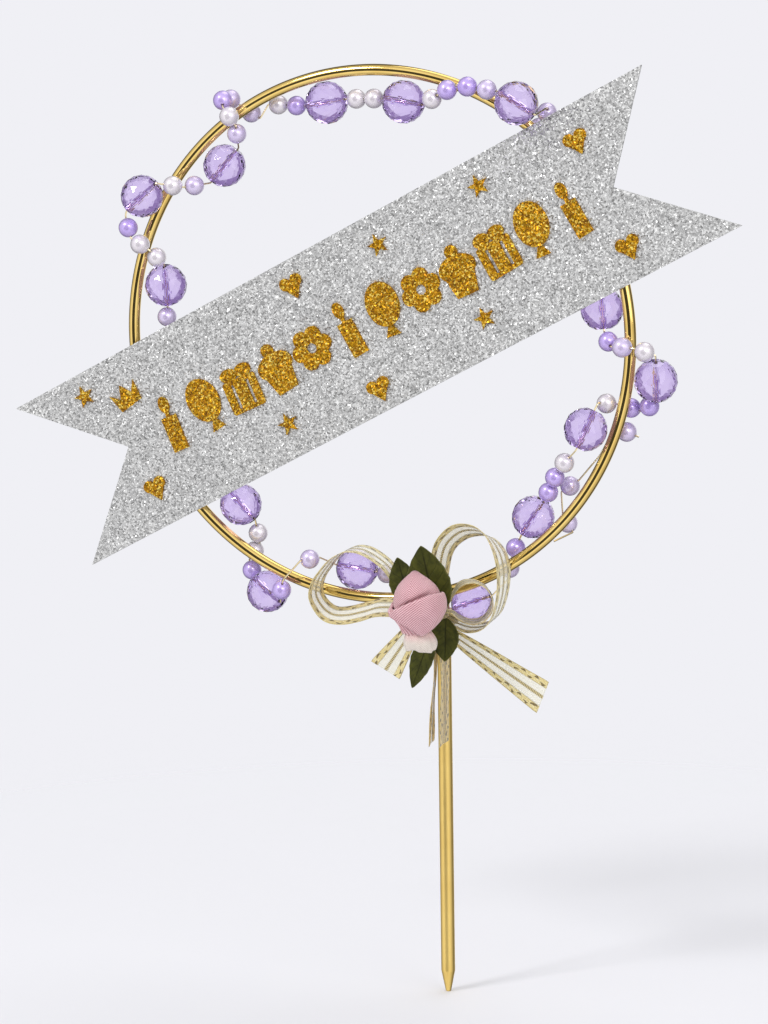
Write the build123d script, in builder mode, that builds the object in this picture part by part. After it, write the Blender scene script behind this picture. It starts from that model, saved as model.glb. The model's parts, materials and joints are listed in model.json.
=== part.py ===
"""Cake topper: a wire hoop on a pick, wound with beads, with a forked banner, a bow and a rosebud.

Millimetres, +Z up, the front of the topper faces -Y. The origin is on the pick's axis, where its
straight shank ends and the tapered point begins.
"""

import math
import os

from build123d import *

os.makedirs("parts", exist_ok=True)

# Pick
pick_wall = 0.3525
pick_shank = 102.5
pick_tip_length = 6.0
pick_tip_diameter = 1.6
pick_socket_depth = 22.0
pick_mouth_length = 4.0
pick_mouth_step = 0.25

# Hoop
hoop_outer_diameter = 150.0
hoop_wire_share = 0.0213
hoop_rise = 1.9
hoop_centre_shift = 19.0
hoop_bend_radius = 5.0
hoop_tail_length = 20.0
hoop_end_gap = 0.6
socket_clearance = 0.05

# Bead string: beads and pearls follow the hoop's size, so that the string goes once round it
bead_share = 0.08
bead_length_share = 0.9333
pearl_share = 0.4583
pearl_end_share = 0.2727
beading_wire_diameter = 0.5
bead_bore_clearance = 0.06
pearl_bore_clearance = 0.08
string_gap_share = 0.0125
string_bend_share = 0.0292

# Banner
banner_length = 216.5
banner_width_share = 0.3347
banner_thickness = 0.8
banner_fork_depth = 27.0
banner_upper_tip_trim = 5.0
banner_tilt = 27.3
banner_shift_share = 0.018
banner_rise_share = 0.03
glue_thickness = 0.5
glue_pad_length = 16.0
glue_pad_width = 5.0
glue_fit = 0.03
applique_thickness = 0.6
motif_height = 16.0
motif_spacing = 12.2
heart_size = 7.0
star_size = 6.4
crown_size = 9.0

# Bow: ribbon, knot and tie
ribbon_width = 10.0
ribbon_thickness = 0.5
bow_clearance = 0.6
bow_seat = 0.3
bow_rise = 1.5
knot_width = 7.0
knot_height = 9.0
knot_corner_radius = 2.0
knot_edge_radius = 1.5
tie_width = 1.6
tie_thickness = 0.3
tie_fit = 0.1
tie_drop = 3.4

# Left loop: a large turn at its far end and a small one at its shoulder
left_loop_radius = 9.85
left_loop_reach = 24.9
left_loop_rise = 6.85
left_shoulder_radius = 6.0
left_shoulder_reach = 13.5
left_shoulder_rise = 8.3
left_loop_root_low = -1.0
left_loop_root_high = 1.5

# Right loop: a small turn at the top, a wide shoulder, a straight side and a turn at the bottom
right_top_radius = 7.1
right_top_reach = 10.8
right_top_rise = 17.5
right_shoulder_radius = 14.0
right_side_run = 7.6
right_bottom_radius = 7.5
right_loop_root_shift = 2.2
right_shoulder_turn = 40.0
right_side_turn = -10.0
right_bottom_turn = -112.0

# Small loop inside the right loop
small_loop_radius = 5.9
small_loop_reach = 10.9
small_loop_rise = 3.9
small_loop_root_low = 0.3
small_loop_root_high = 1.5

# Tails
tail_root_diameter = 1.8
right_tail_root_shift = 3.3
right_tail_root_drop = 5.7
right_tail_shift = 17.8
right_tail_drop = 15.1
right_tail_length = 28.3
right_tail_slope = 35.0
left_tail_root_shift = 5.3
left_tail_root_drop = 3.4
left_tail_shift = 12.9
left_tail_drop = 13.3
left_tail_length = 9.5
left_tail_slope = 61.0
hanging_tail_length = 32.4
hanging_tail_root_shift = 2.5
hanging_tail_sway = -0.6
hanging_tail_bulge = 0.3
turned_tail_root_shift = -0.4
turned_tail_sway = -1.3
turned_tail_bulge = 0.4
turned_tail_angle = 20.7

# Rosebud
bud_width = 13.2
bud_height = 17.5
bud_belly_rise = 6.5
bud_tip_width = 2.4
bud_foot_width = 9.6
bud_foot_height = 4.6
bud_hem_width = 8.0
bud_shift = 0.2
bud_drop = 3.4
petal_thickness = 0.8
petal_gap = 0.15
inner_petal_rise = 13.0
outer_petal_rise = 9.5
outer_petal_slope = 25.0
inner_petal_slope = -18.0
inner_petal_start = 140.0
inner_petal_wrap = 150.0
outer_petal_start = -125.0
outer_petal_wrap = 165.0

# Leaves
leaf_thickness = 0.5
leaf_fold = 8.0
leaf_vein_diameter = 0.8
leaf_seat = 0.15
leaf_layer_spacing = 1.8
top_leaf_length = 19.5
top_leaf_width = 12.5
top_leaf_angle = 100.6
top_leaf_shift = 2.5
top_leaf_rise = 0.5
left_leaf_length = 14.6
left_leaf_width = 9.0
left_leaf_angle = 113.8
left_leaf_shift = -2.5
left_leaf_rise = 2.5
right_leaf_length = 11.8
right_leaf_width = 8.5
right_leaf_angle = -63.0
right_leaf_shift = 1.5
right_leaf_rise = -2.5
lower_leaf_length = 16.0
lower_leaf_width = 7.0
lower_leaf_angle = -103.0
lower_leaf_shift = -0.5
lower_leaf_rise = -4.5

# Sizes that follow
hoop_wire_diameter = hoop_outer_diameter * hoop_wire_share
hoop_wire_radius = hoop_wire_diameter / 2
hoop_radius = hoop_outer_diameter / 2 - hoop_wire_radius
hoop_centre_height = pick_shank + hoop_rise + hoop_outer_diameter / 2
hoop_centre = Vector(-hoop_centre_shift, 0, hoop_centre_height)
pick_radius = hoop_wire_radius + pick_wall
pick_mouth_radius = pick_radius + pick_mouth_step
bead_diameter = hoop_outer_diameter * bead_share
bead_radius = bead_diameter / 2
bead_length = bead_diameter * bead_length_share
pearl_diameter = bead_diameter * pearl_share
pearl_radius = pearl_diameter / 2
pearl_end_flat = pearl_diameter * pearl_end_share
beading_wire_radius = beading_wire_diameter / 2
string_gap = bead_diameter * string_gap_share
string_bend_room = bead_diameter * string_bend_share
banner_width = hoop_outer_diameter * banner_width_share
banner_shift = hoop_outer_diameter * banner_shift_share
banner_rise = hoop_outer_diameter * banner_rise_share
bow_height = pick_shank + bow_rise

# Pick: a turned rod with a blunt point, and a swelled mouth at its upper end with a blind socket
with BuildPart() as pick:
    with BuildSketch(Plane.XZ):
        with BuildLine():
            Polyline(
                (0, -pick_tip_length),
                (pick_tip_diameter / 2, -pick_tip_length),
                (pick_radius, 0),
                (pick_radius, pick_shank - pick_mouth_length),
                (pick_mouth_radius, pick_shank - pick_mouth_length + pick_mouth_step),
                (pick_mouth_radius, pick_shank),
                (0, pick_shank),
                close=True,
            )
        make_face()
    revolve(axis=Axis.Z)
    with Locations((0, 0, pick_shank)):
        Hole(hoop_wire_radius + socket_clearance, depth=pick_socket_depth)
pick.part.label = "pick"
export_step(pick.part, "parts/pick.step")

# Hoop: one wire, from its tail in the pick through a bend and round the ring
bend_centre_drop = math.sqrt(
    (hoop_radius + hoop_bend_radius) ** 2 - (hoop_bend_radius + hoop_centre_shift) ** 2
)
bend_height = hoop_centre_height - bend_centre_drop
bend_angle = math.degrees(math.atan2(bend_centre_drop, hoop_bend_radius + hoop_centre_shift))
end_offset = hoop_centre_shift - hoop_wire_radius - hoop_end_gap
end_angle = math.degrees(math.acos(end_offset / hoop_radius))
tail_foot = pick_shank - hoop_tail_length

with BuildPart() as hoop:
    with BuildLine(Plane.XZ) as hoop_path:
        Line((0, tail_foot), (0, bend_height))
        CenterArc((hoop_bend_radius, bend_height), hoop_bend_radius, 180, -bend_angle)
        CenterArc(
            (-hoop_centre_shift, hoop_centre_height),
            hoop_radius,
            -bend_angle,
            360 - end_angle + bend_angle,
        )
    with BuildSketch(Plane(origin=(0, 0, tail_foot), z_dir=(0, 0, 1))):
        Circle(hoop_wire_radius)
    sweep(path=hoop_path.line)
hoop.part.label = "hoop"
export_step(hoop.part, "parts/hoop.step")

# Bead string. Each run of the wire is straight and carries the listed beads: B faceted bead,
# W white pearl, P pale lilac pearl, L lilac pearl, a dash or a dot for a bare stretch.
# A run's end is given as its distance outside the hoop and behind it, in shares of the bead radius.
# How far it moves along the hoop follows from the beads that it carries, or from a given angle,
# which is counted clockwise from the top as seen from the front.
item_length = {
    "B": bead_diameter,
    "W": pearl_diameter,
    "P": pearl_diameter,
    "L": pearl_diameter,
    "-": pearl_diameter / 2,
    ".": pearl_diameter / 4,
}
long_string_start_shares = (172.0, -0.80, 0.45)
long_string_shares = [
    (-1.10, 0.65, "PP"),
    (-1.02, 0.88, "B"),
    (-1.32, 0.15, "--"),
    (-1.05, -0.65, "P"),
    (0.05, -1.10, 201.2),
    (1.35, -0.25, "L."),
    (1.30, 0.70, "B"),
    (0.70, 0.95, "L"),
    (-0.35, 1.00, "W"),
    (-1.30, 0.40, "W."),
    (-1.30, 0.72, "B"),
    (-0.35, 1.07, "-P"),
    (0.90, 0.95, "W-"),
    (1.10, 1.00, "B"),
    (0.10, 1.30, ".L"),
    (-1.00, 0.95, "W"),
    (-1.10, 1.00, ".B"),
    (-0.90, 0.70, "L"),
    (-1.50, 0.35, 271.0),
    (-1.55, 0.30, "P"),
    (-1.27, -0.30, "B"),
    (-0.60, -0.90, "W"),
    (0.37, -1.15, "W"),
    (1.20, -0.95, "L."),
    (0.25, -1.40, ".B"),
    (-0.80, -0.85, ".W"),
    (-1.50, -0.10, "P."),
    (-1.25, 0.20, "B"),
    (-0.60, -0.85, "-P"),
    (0.50, -0.97, "W"),
    (1.15, 0.00, "L"),
    (0.55, 1.00, "P"),
    (-0.60, 0.95, ".P"),
    (-0.25, 0.85, 332.8),
    (-1.10, 0.70, "WL"),
    (-1.25, 0.50, "B"),
    (-1.30, 0.15, "WW"),
    (-1.30, -0.20, "B"),
    (-0.60, -0.95, ".W"),
    (0.13, -0.95, "L"),
    (0.70, -1.00, "LP"),
    (0.85, -1.20, "B"),
    (1.25, -0.17, "--"),
    (0.60, 0.95, "P"),
    (-0.55, 0.95, "P"),
    (-1.05, 0.95, "L"),
    (-1.07, 0.92, "B"),
    (-0.80, 0.90, "W"),
    (-1.25, 0.85, 425.8),
    (-1.38, 0.80, "B"),
    (-1.42, 0.65, "B"),
    (-0.75, -0.60, "-L"),
    (0.43, -0.95, "P"),
    (1.35, -0.60, "W"),
    (1.35, 0.35, ".B"),
    (0.75, 0.80, "L"),
    (-0.45, 0.95, "L"),
    (-1.12, -0.25, ".W"),
    (-1.20, -0.85, ".B"),
    (-1.60, -0.25, "-W"),
    (-1.35, 0.50, "LL"),
    (-0.95, 0.92, "B"),
    (-0.30, 1.05, ".L"),
    (0.50, 1.05, "P"),
    (0.90, 0.95, 516.6),
    (0.95, 1.00, "B"),
    (0.37, 0.53, "--"),
]
short_string_start_shares = (469.5, 0.90, 0.75)
short_string_shares = [
    (-0.33, 0.90, "P"),
    (-0.50, 1.05, "---"),
    (-0.75, 0.95, "---"),
    (-1.10, 0.97, "P"),
    (-0.40, 1.12, "--"),
    (0.57, 0.80, "P"),
    (0.33, 0.08, "--"),
]


def hoop_point(angle, outside, behind):
    """A point beside the hoop: angle clockwise from the top, distance outside and behind the wire."""
    turn = math.radians(angle)
    reach = hoop_radius + outside
    return hoop_centre + Vector(reach * math.sin(turn), behind, reach * math.cos(turn))


def items_length(items):
    """Length of wire that a run's beads cover, with the gaps between them."""
    return sum(item_length[item] for item in items) + string_gap * (len(items) - 1)


def walk_string(start, shares):
    """Follow a string along the hoop and give its corner points and the beads of each run."""
    angle, outside, behind = start[0], start[1] * bead_radius, start[2] * bead_radius
    corners = [hoop_point(angle, outside, behind)]
    runs = []
    for outside_share, behind_share, load in shares:
        next_outside, next_behind = outside_share * bead_radius, behind_share * bead_radius
        if isinstance(load, str):
            length = items_length(load) + 2 * string_bend_room
            sideways = math.hypot(next_outside - outside, next_behind - behind)
            along = math.sqrt(max(length**2 - sideways**2, 0))
            angle += math.degrees(along / (hoop_radius + (outside + next_outside) / 2))
            runs.append(load)
        else:
            angle = load
            runs.append("")
        outside, behind = next_outside, next_behind
        corners.append(hoop_point(angle, outside, behind))
    return corners, runs


def place_beads(corners, runs):
    """Centre each run's beads on its straight stretch: kind, plane along the wire, and bare ends."""
    placed = []
    bare_ends = []
    for start, end, items in zip(corners, corners[1:], runs):
        run = end - start
        direction = run.normalized()
        beads = []
        position = (run.length - items_length(items)) / 2
        for item in items:
            if item in "BWPL":
                middle = position + item_length[item] / 2
                beads.append((position, position + item_length[item]))
                placed.append((item, Plane(origin=start + direction * middle, z_dir=direction)))
            position += item_length[item] + string_gap
        if beads:
            bare_ends.append((beads[0][0], run.length - beads[-1][1]))
        else:
            bare_ends.append((run.length / 2, run.length / 2))
    return placed, bare_ends


def bend_radii(corners, bare_ends):
    """The largest bend at each corner that keeps the wire straight inside the beads."""
    radii = []
    for index in range(1, len(corners) - 1):
        before = corners[index] - corners[index - 1]
        after = corners[index + 1] - corners[index]
        room = min(bare_ends[index - 1][1], bare_ends[index][0])
        radii.append(min(room / math.tan(math.radians(before.get_angle(after)) / 2), bead_radius))
    return radii


def least_gap(corners):
    """The least gap between stretches of wire that aren't neighbours, measured on points."""
    points = []
    travelled = 0.0
    for start, end in zip(corners, corners[1:]):
        run = end - start
        steps = max(2, math.ceil(run.length / pearl_radius))
        points += [(travelled + run.length * k / steps, start + run * (k / steps)) for k in range(steps)]
        travelled += run.length
    gaps = []
    for index, (place, point) in enumerate(points):
        for other_place, other_point in points[:index]:
            if place - other_place > bead_diameter:
                gaps.append((point - other_point).length)
    return min(gaps) - beading_wire_diameter


long_corners, long_runs = walk_string(long_string_start_shares, long_string_shares)
short_corners, short_runs = walk_string(short_string_start_shares, short_string_shares)
long_placed, long_bare = place_beads(long_corners, long_runs)
short_placed, short_bare = place_beads(short_corners, short_runs)
long_radii = bend_radii(long_corners, long_bare)
short_radii = bend_radii(short_corners, short_bare)
print("wire bends", [round(radius, 2) for radius in long_radii + short_radii])
print("least gaps", round(least_gap(long_corners), 2), round(least_gap(short_corners), 2))

with BuildPart() as beading_wire:
    with BuildLine() as long_path:
        FilletPolyline(*long_corners, radius=long_radii)
    with BuildSketch(Plane(origin=long_path.line @ 0, z_dir=long_path.line % 0)):
        RegularPolygon(beading_wire_radius, 6)
    sweep(path=long_path.line)
beading_wire.part.label = "beading_wire"
export_step(beading_wire.part, "parts/beading_wire.step")

with BuildPart() as short_wire:
    with BuildLine() as short_path:
        FilletPolyline(*short_corners, radius=short_radii)
    with BuildSketch(Plane(origin=short_path.line @ 0, z_dir=short_path.line % 0)):
        RegularPolygon(beading_wire_radius, 6)
    sweep(path=short_path.line)
short_wire.part.label = "short_wire"
export_step(short_wire.part, "parts/short_wire.step")

# Faceted bead: rows of flats round the bore, each row turned half a flat from the next
bead_facets = 8
bead_latitudes = [-66, -34, 0, 34, 66]
facet_reach = bead_radius * math.cos(math.pi / bead_facets)

with BuildPart() as bead_blank:
    Cylinder(bead_diameter, bead_length)
    for row, latitude in enumerate(bead_latitudes):
        for step in range(bead_facets):
            turn = math.radians((step + (row % 2) / 2) * 360 / bead_facets)
            tip = math.radians(latitude)
            facing = Vector(math.cos(tip) * math.cos(turn), math.cos(tip) * math.sin(turn), math.sin(tip))
            split(bisect_by=Plane(origin=facing * facet_reach, z_dir=facing), keep=Keep.BOTTOM)
    Hole(beading_wire_radius + bead_bore_clearance)

# Pearl: a ball in eight-sided rows with a flat at each end of its bore
pearl_sides = 8
pearl_latitudes = [-38, 0, 38]
pearl_end_height = math.sqrt(pearl_radius**2 - (pearl_end_flat / 2) ** 2)
pearl_rows = [(-pearl_end_height, pearl_end_flat / 2)]
for latitude in pearl_latitudes:
    tip = math.radians(latitude)
    pearl_rows.append((pearl_radius * math.sin(tip), pearl_radius * math.cos(tip)))
pearl_rows.append((pearl_end_height, pearl_end_flat / 2))

with BuildPart() as pearl_blank:
    for height, row_radius in pearl_rows:
        with BuildSketch(Plane.XY.offset(height)):
            RegularPolygon(row_radius, pearl_sides)
    loft(ruled=True)
    with BuildSketch(Plane.XY.offset(-pearl_diameter)):
        RegularPolygon(beading_wire_radius + pearl_bore_clearance, 6, major_radius=False)
    extrude(amount=2 * pearl_diameter, mode=Mode.SUBTRACT)

placed_beads = long_placed + short_placed
bead_planes = [plane for kind, plane in placed_beads if kind == "B"]
for number, plane in enumerate(bead_planes, start=1):
    with BuildPart() as bead:
        with Locations(plane):
            add(bead_blank.part)
    bead.part.label = f"faceted_bead_{number:02d}"
    export_step(bead.part, f"parts/faceted_bead_{number:02d}.step")
    print("bead", number, [round(v, 3) for v in plane.origin], [round(v, 4) for v in plane.z_dir])

for kind, label in (("W", "white_pearls"), ("P", "pale_lilac_pearls"), ("L", "lilac_pearls")):
    with BuildPart() as pearls:
        with Locations(*[plane for item, plane in placed_beads if item == kind]):
            add(pearl_blank.part)
    pearls.part.label = label
    export_step(pearls.part, f"parts/{label}.step")

# Banner: a card with forked ends in front of the hoop, on two dabs of glue
banner_back = -(hoop_wire_radius + glue_thickness)
tilt = math.radians(banner_tilt)
banner_plane = Plane(
    origin=hoop_centre + Vector(-banner_shift, banner_back, banner_rise),
    x_dir=(math.cos(tilt), 0, math.sin(tilt)),
    z_dir=(0, -1, 0),
)
banner_face = banner_plane.offset(banner_thickness)
half_length = banner_length / 2
half_width = banner_width / 2

with BuildPart() as banner_card:
    with BuildSketch(banner_plane):
        with BuildLine():
            Polyline(
                (-half_length, half_width),
                (-half_length + banner_fork_depth, 0),
                (-half_length, -half_width),
                (half_length, -half_width),
                (half_length - banner_fork_depth, 0),
                (half_length - banner_upper_tip_trim, half_width),
                close=True,
            )
        make_face()
    extrude(amount=banner_thickness)
banner_card.part.label = "banner_card"
export_step(banner_card.part, "parts/banner_card.step")

# Where the banner's centreline crosses the hoop, measured along the banner
across_offset = banner_shift * math.sin(tilt) + banner_rise * math.cos(tilt)
along_offset = banner_rise * math.sin(tilt) - banner_shift * math.cos(tilt)
half_chord = math.sqrt(hoop_radius**2 - across_offset**2)

with BuildPart() as glue_pads:
    with BuildSketch(banner_plane):
        with Locations((-half_chord - along_offset, 0), (half_chord - along_offset, 0)):
            SlotOverall(glue_pad_length, glue_pad_width, rotation=90)
    extrude(amount=-(glue_thickness + hoop_wire_radius / 2))
    with BuildSketch(Plane(origin=hoop_centre + Vector(hoop_radius, 0, 0), z_dir=(0, 0, 1))):
        Circle(hoop_wire_radius + glue_fit)
    revolve(axis=Axis(hoop_centre, (0, 1, 0)), mode=Mode.SUBTRACT)
glue_pads.part.label = "glue_pads"
export_step(glue_pads.part, "parts/glue_pads.step")

# Raised gold pieces on the banner. Places are shares of the banner's half length and half width.
heart_place_shares = [(-0.73, -0.52), (-0.13, 0.76), (-0.04, -0.70), (0.72, 0.66), (0.72, -0.60)]
star_place_shares = [(-0.80, 0.74), (-0.31, -0.62), (0.13, 0.66), (0.44, 0.70), (0.30, -0.60)]
crown_place_shares = (-0.69, 0.52)
crown_turn = 8
motif_row_share = 0.012
motif_turns = [-4, 5, -3, 4, 0, 3, -6, 8, -4, 3, -5, 4]


def heart(size):
    """A heart of the given width: two round lobes over a point."""
    lobe = size / 4
    with BuildSketch() as outline:
        with Locations((-lobe, 0), (lobe, 0)):
            Circle(lobe)
        with BuildLine():
            Polyline((-2 * lobe, 0), (0, -size * 0.70), (2 * lobe, 0), close=True)
        make_face()
    return outline.sketch


def star(size):
    """A five-pointed star of the given width."""
    corners = []
    for step in range(10):
        turn = math.radians(90 + 36 * step)
        reach = size / 2 if step % 2 == 0 else size / 5
        corners.append((reach * math.cos(turn), reach * math.sin(turn)))
    with BuildSketch() as outline:
        with BuildLine():
            Polyline(*corners, close=True)
        make_face()
    return outline.sketch


def crown(size):
    """A small crown: a band with three points."""
    half = size / 2
    with BuildSketch() as outline:
        with BuildLine():
            Polyline(
                (-half * 0.8, -half * 0.7),
                (half * 0.8, -half * 0.7),
                (half, half * 0.6),
                (half * 0.45, 0),
                (0, half * 0.8),
                (-half * 0.45, 0),
                (-half, half * 0.6),
                close=True,
            )
        make_face()
    return outline.sketch


def candle(height):
    """A candle with a wick and a flame."""
    with BuildSketch() as outline:
        with Locations((0, -height * 0.18)):
            Rectangle(height * 0.30, height * 0.64)
        with Locations((0, height * 0.18)):
            Rectangle(height * 0.07, height * 0.16)
        with Locations((0, height * 0.36)):
            Ellipse(height * 0.10, height * 0.15)
    return outline.sketch


def balloon(height):
    """A balloon with its tied neck."""
    with BuildSketch() as outline:
        with Locations((0, height * 0.10)):
            Ellipse(height * 0.31, height * 0.40)
        with BuildLine():
            Polyline(
                (-height * 0.14, -height * 0.48),
                (height * 0.14, -height * 0.48),
                (0, -height * 0.22),
                close=True,
            )
        make_face()
    return outline.sketch


def gift(height):
    """A wrapped box with a bow, cut open beside its ribbon."""
    with BuildSketch() as outline:
        with Locations((0, -height * 0.14)):
            RectangleRounded(height * 0.66, height * 0.60, height * 0.05)
        with Locations((-height * 0.15, height * 0.26), (height * 0.15, height * 0.26)):
            Ellipse(height * 0.16, height * 0.12)
        with Locations((-height * 0.15, -height * 0.14), (height * 0.15, -height * 0.14)):
            Rectangle(height * 0.06, height * 0.44, mode=Mode.SUBTRACT)
    return outline.sketch


def cupcake(height):
    """A cupcake: a tapered case under a round top with a cherry."""
    with BuildSketch() as outline:
        with BuildLine():
            Polyline(
                (-height * 0.20, -height * 0.46),
                (height * 0.20, -height * 0.46),
                (height * 0.29, -height * 0.04),
                (-height * 0.29, -height * 0.04),
                close=True,
            )
        make_face()
        with Locations((0, height * 0.04)):
            Ellipse(height * 0.35, height * 0.23)
        with Locations((0, height * 0.33)):
            Circle(height * 0.12)
    return outline.sketch


def flower(height):
    """A flower of six round petals, open at its centre."""
    with BuildSketch() as outline:
        Circle(height * 0.24)
        with PolarLocations(height * 0.24, 6):
            Circle(height * 0.15)
        Circle(height * 0.09, mode=Mode.SUBTRACT)
    return outline.sketch


def on_banner(place, turn=0):
    """The place and turn of a raised piece on the banner's face."""
    return Location((place[0] * half_length, place[1] * half_width), turn)


motif_row = [candle, balloon, gift, cupcake, flower, candle]
motif_row += [balloon, flower, cupcake, gift, balloon, candle]
raised_groups = {
    "gold_hearts": [(heart(heart_size), on_banner(place)) for place in heart_place_shares],
    "gold_stars": [(star(star_size), on_banner(place)) for place in star_place_shares],
    "gold_crown": [(crown(crown_size), on_banner(crown_place_shares, crown_turn))],
}
for motif, label in (
    (candle, "gold_candles"),
    (balloon, "gold_balloons"),
    (gift, "gold_gifts"),
    (cupcake, "gold_cupcakes"),
    (flower, "gold_flowers"),
):
    raised_groups[label] = []
    for index, kind in enumerate(motif_row):
        if kind is motif:
            along = (index - (len(motif_row) - 1) / 2) * motif_spacing + motif_row_share * half_length
            raised_groups[label].append((motif(motif_height), Location((along, 0), motif_turns[index])))

for label, outlines in raised_groups.items():
    with BuildPart() as raised:
        with BuildSketch(banner_face):
            for outline, place in outlines:
                add(outline.moved(place))
        extrude(amount=applique_thickness)
    raised.part.label = label
    export_step(raised.part, f"parts/{label}.step")

# Bow: the knot stands in front of the pick, and a tie holds both together
bow_back = -(pick_radius + bow_clearance)
bow_front = bow_back - ribbon_width
bow_plane = Plane(origin=(0, bow_back, bow_height), x_dir=(1, 0, 0), z_dir=(0, -1, 0))
half_knot = knot_width / 2
half_knot_height = knot_height / 2
loop_root = half_knot + bow_seat

with BuildPart() as bow_knot:
    with BuildSketch(bow_plane):
        RectangleRounded(knot_width, knot_height, knot_corner_radius)
    extrude(amount=ribbon_width)
    fillet(bow_knot.faces().sort_by(Axis.Y)[0].edges(), knot_edge_radius)
bow_knot.part.label = "bow_knot"
export_step(bow_knot.part, "parts/bow_knot.step")

tie_corner_radius = knot_edge_radius + tie_fit
tie_back = pick_mouth_radius + tie_fit
tie_length = tie_back - bow_front + tie_fit
tie_plane = Plane(
    origin=(0, tie_back - tie_length / 2, bow_height - tie_drop),
    z_dir=(0, 0, 1),
)
with BuildPart() as knot_tie:
    with BuildSketch(tie_plane):
        RectangleRounded(
            knot_width + 2 * tie_fit + 2 * tie_thickness,
            tie_length + 2 * tie_thickness,
            tie_corner_radius + tie_thickness,
        )
        RectangleRounded(knot_width + 2 * tie_fit, tie_length, tie_corner_radius, mode=Mode.SUBTRACT)
    extrude(amount=tie_width / 2, both=True)
knot_tie.part.label = "knot_tie"
export_step(knot_tie.part, "parts/knot_tie.step")


def polar(centre, radius, turn):
    """A point on a circle at the given angle in degrees."""
    return Vector(centre) + Vector(radius, 0).rotate(Axis.Z, turn)


def touch_angle(point, centre, radius, side):
    """The angle on a circle where the line from a point touches it, on the given side."""
    away = Vector(point) - Vector(centre)
    spread = math.degrees(math.acos(radius / away.length))
    return math.degrees(math.atan2(away.Y, away.X)) + side * spread


def strip_arc(centre, radius, start, end):
    """An arc of a ribbon between two angles, traced the short way in order."""
    return CenterArc(centre, radius, start, end - start)


# Left loop: out under its far turn, over the shoulder and down to the knot
left_far = (-left_loop_reach, left_loop_rise)
left_shoulder = (-left_shoulder_reach, left_shoulder_rise)
left_low = (-loop_root, left_loop_root_low)
left_high = (-loop_root, left_loop_root_high)
centre_line = Vector(left_shoulder) - Vector(left_far)
common_turn = math.degrees(math.atan2(centre_line.Y, centre_line.X)) + math.degrees(
    math.acos((left_loop_radius - left_shoulder_radius) / centre_line.length)
)
left_low_turn = touch_angle(left_low, left_far, left_loop_radius, -1)
left_high_turn = touch_angle(left_high, left_shoulder, left_shoulder_radius, 1)

with BuildPart() as left_loop:
    with BuildSketch(bow_plane):
        with BuildLine():
            Line(left_low, polar(left_far, left_loop_radius, left_low_turn))
            strip_arc(left_far, left_loop_radius, left_low_turn, common_turn - 360)
            Line(
                polar(left_far, left_loop_radius, common_turn),
                polar(left_shoulder, left_shoulder_radius, common_turn),
            )
            strip_arc(left_shoulder, left_shoulder_radius, common_turn, left_high_turn)
            Line(polar(left_shoulder, left_shoulder_radius, left_high_turn), left_high)
        trace(line_width=ribbon_thickness)
    extrude(amount=ribbon_width)
left_loop.part.label = "left_loop"
export_step(left_loop.part, "parts/left_loop.step")

# Right loop: up from the knot's top, over and down the right side, and back under to the knot
right_top = Vector(right_top_reach, right_top_rise)
right_root = (right_loop_root_shift, half_knot_height + bow_seat)
right_start_turn = touch_angle(right_root, right_top, right_top_radius, -1) + 360
right_shoulder = polar(right_top, right_top_radius - right_shoulder_radius, right_shoulder_turn)
side_start = polar(right_shoulder, right_shoulder_radius, right_side_turn)
side_end = side_start + Vector(0, -right_side_run).rotate(Axis.Z, right_side_turn)
right_bottom = polar(side_end, -right_bottom_radius, right_side_turn)
bottom_end = polar(right_bottom, right_bottom_radius, right_bottom_turn)
return_run = (bottom_end.X - loop_root) / math.sin(math.radians(-right_bottom_turn))
right_return = bottom_end + Vector(0, -return_run).rotate(Axis.Z, right_bottom_turn)

with BuildPart() as right_loop:
    with BuildSketch(bow_plane):
        with BuildLine():
            Line(right_root, polar(right_top, right_top_radius, right_start_turn))
            strip_arc(right_top, right_top_radius, right_start_turn, right_shoulder_turn)
            strip_arc(right_shoulder, right_shoulder_radius, right_shoulder_turn, right_side_turn)
            Line(side_start, side_end)
            strip_arc(right_bottom, right_bottom_radius, right_side_turn, right_bottom_turn)
            Line(bottom_end, right_return)
        trace(line_width=ribbon_thickness)
    extrude(amount=ribbon_width)
right_loop.part.label = "right_loop"
export_step(right_loop.part, "parts/right_loop.step")

# Small loop: one turn inside the right loop
small_centre = (small_loop_reach, small_loop_rise)
small_low = (loop_root, small_loop_root_low)
small_high = (loop_root, small_loop_root_high)
small_low_turn = touch_angle(small_low, small_centre, small_loop_radius, 1)
small_high_turn = touch_angle(small_high, small_centre, small_loop_radius, -1)

with BuildPart() as small_loop:
    with BuildSketch(bow_plane):
        with BuildLine():
            Line(small_low, polar(small_centre, small_loop_radius, small_low_turn))
            strip_arc(small_centre, small_loop_radius, small_low_turn, small_high_turn + 360)
            Line(polar(small_centre, small_loop_radius, small_high_turn), small_high)
        trace(line_width=ribbon_thickness)
    extrude(amount=ribbon_width)
small_loop.part.label = "small_loop"
export_step(small_loop.part, "parts/small_loop.step")

# Spread tails: flat ribbon ends seen from the front, drawn together at the knot
right_tail_plane = bow_plane.offset(-bow_seat - ribbon_thickness)
with BuildPart() as right_tail:
    with BuildSketch(right_tail_plane):
        with Locations((right_tail_root_shift, -right_tail_root_drop)):
            Circle(tail_root_diameter / 2)
        with Locations((right_tail_shift, -right_tail_drop)):
            Rectangle(right_tail_length, ribbon_width, rotation=-right_tail_slope)
        make_hull()
    extrude(amount=ribbon_thickness)
right_tail.part.label = "right_tail"
export_step(right_tail.part, "parts/right_tail.step")

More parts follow.
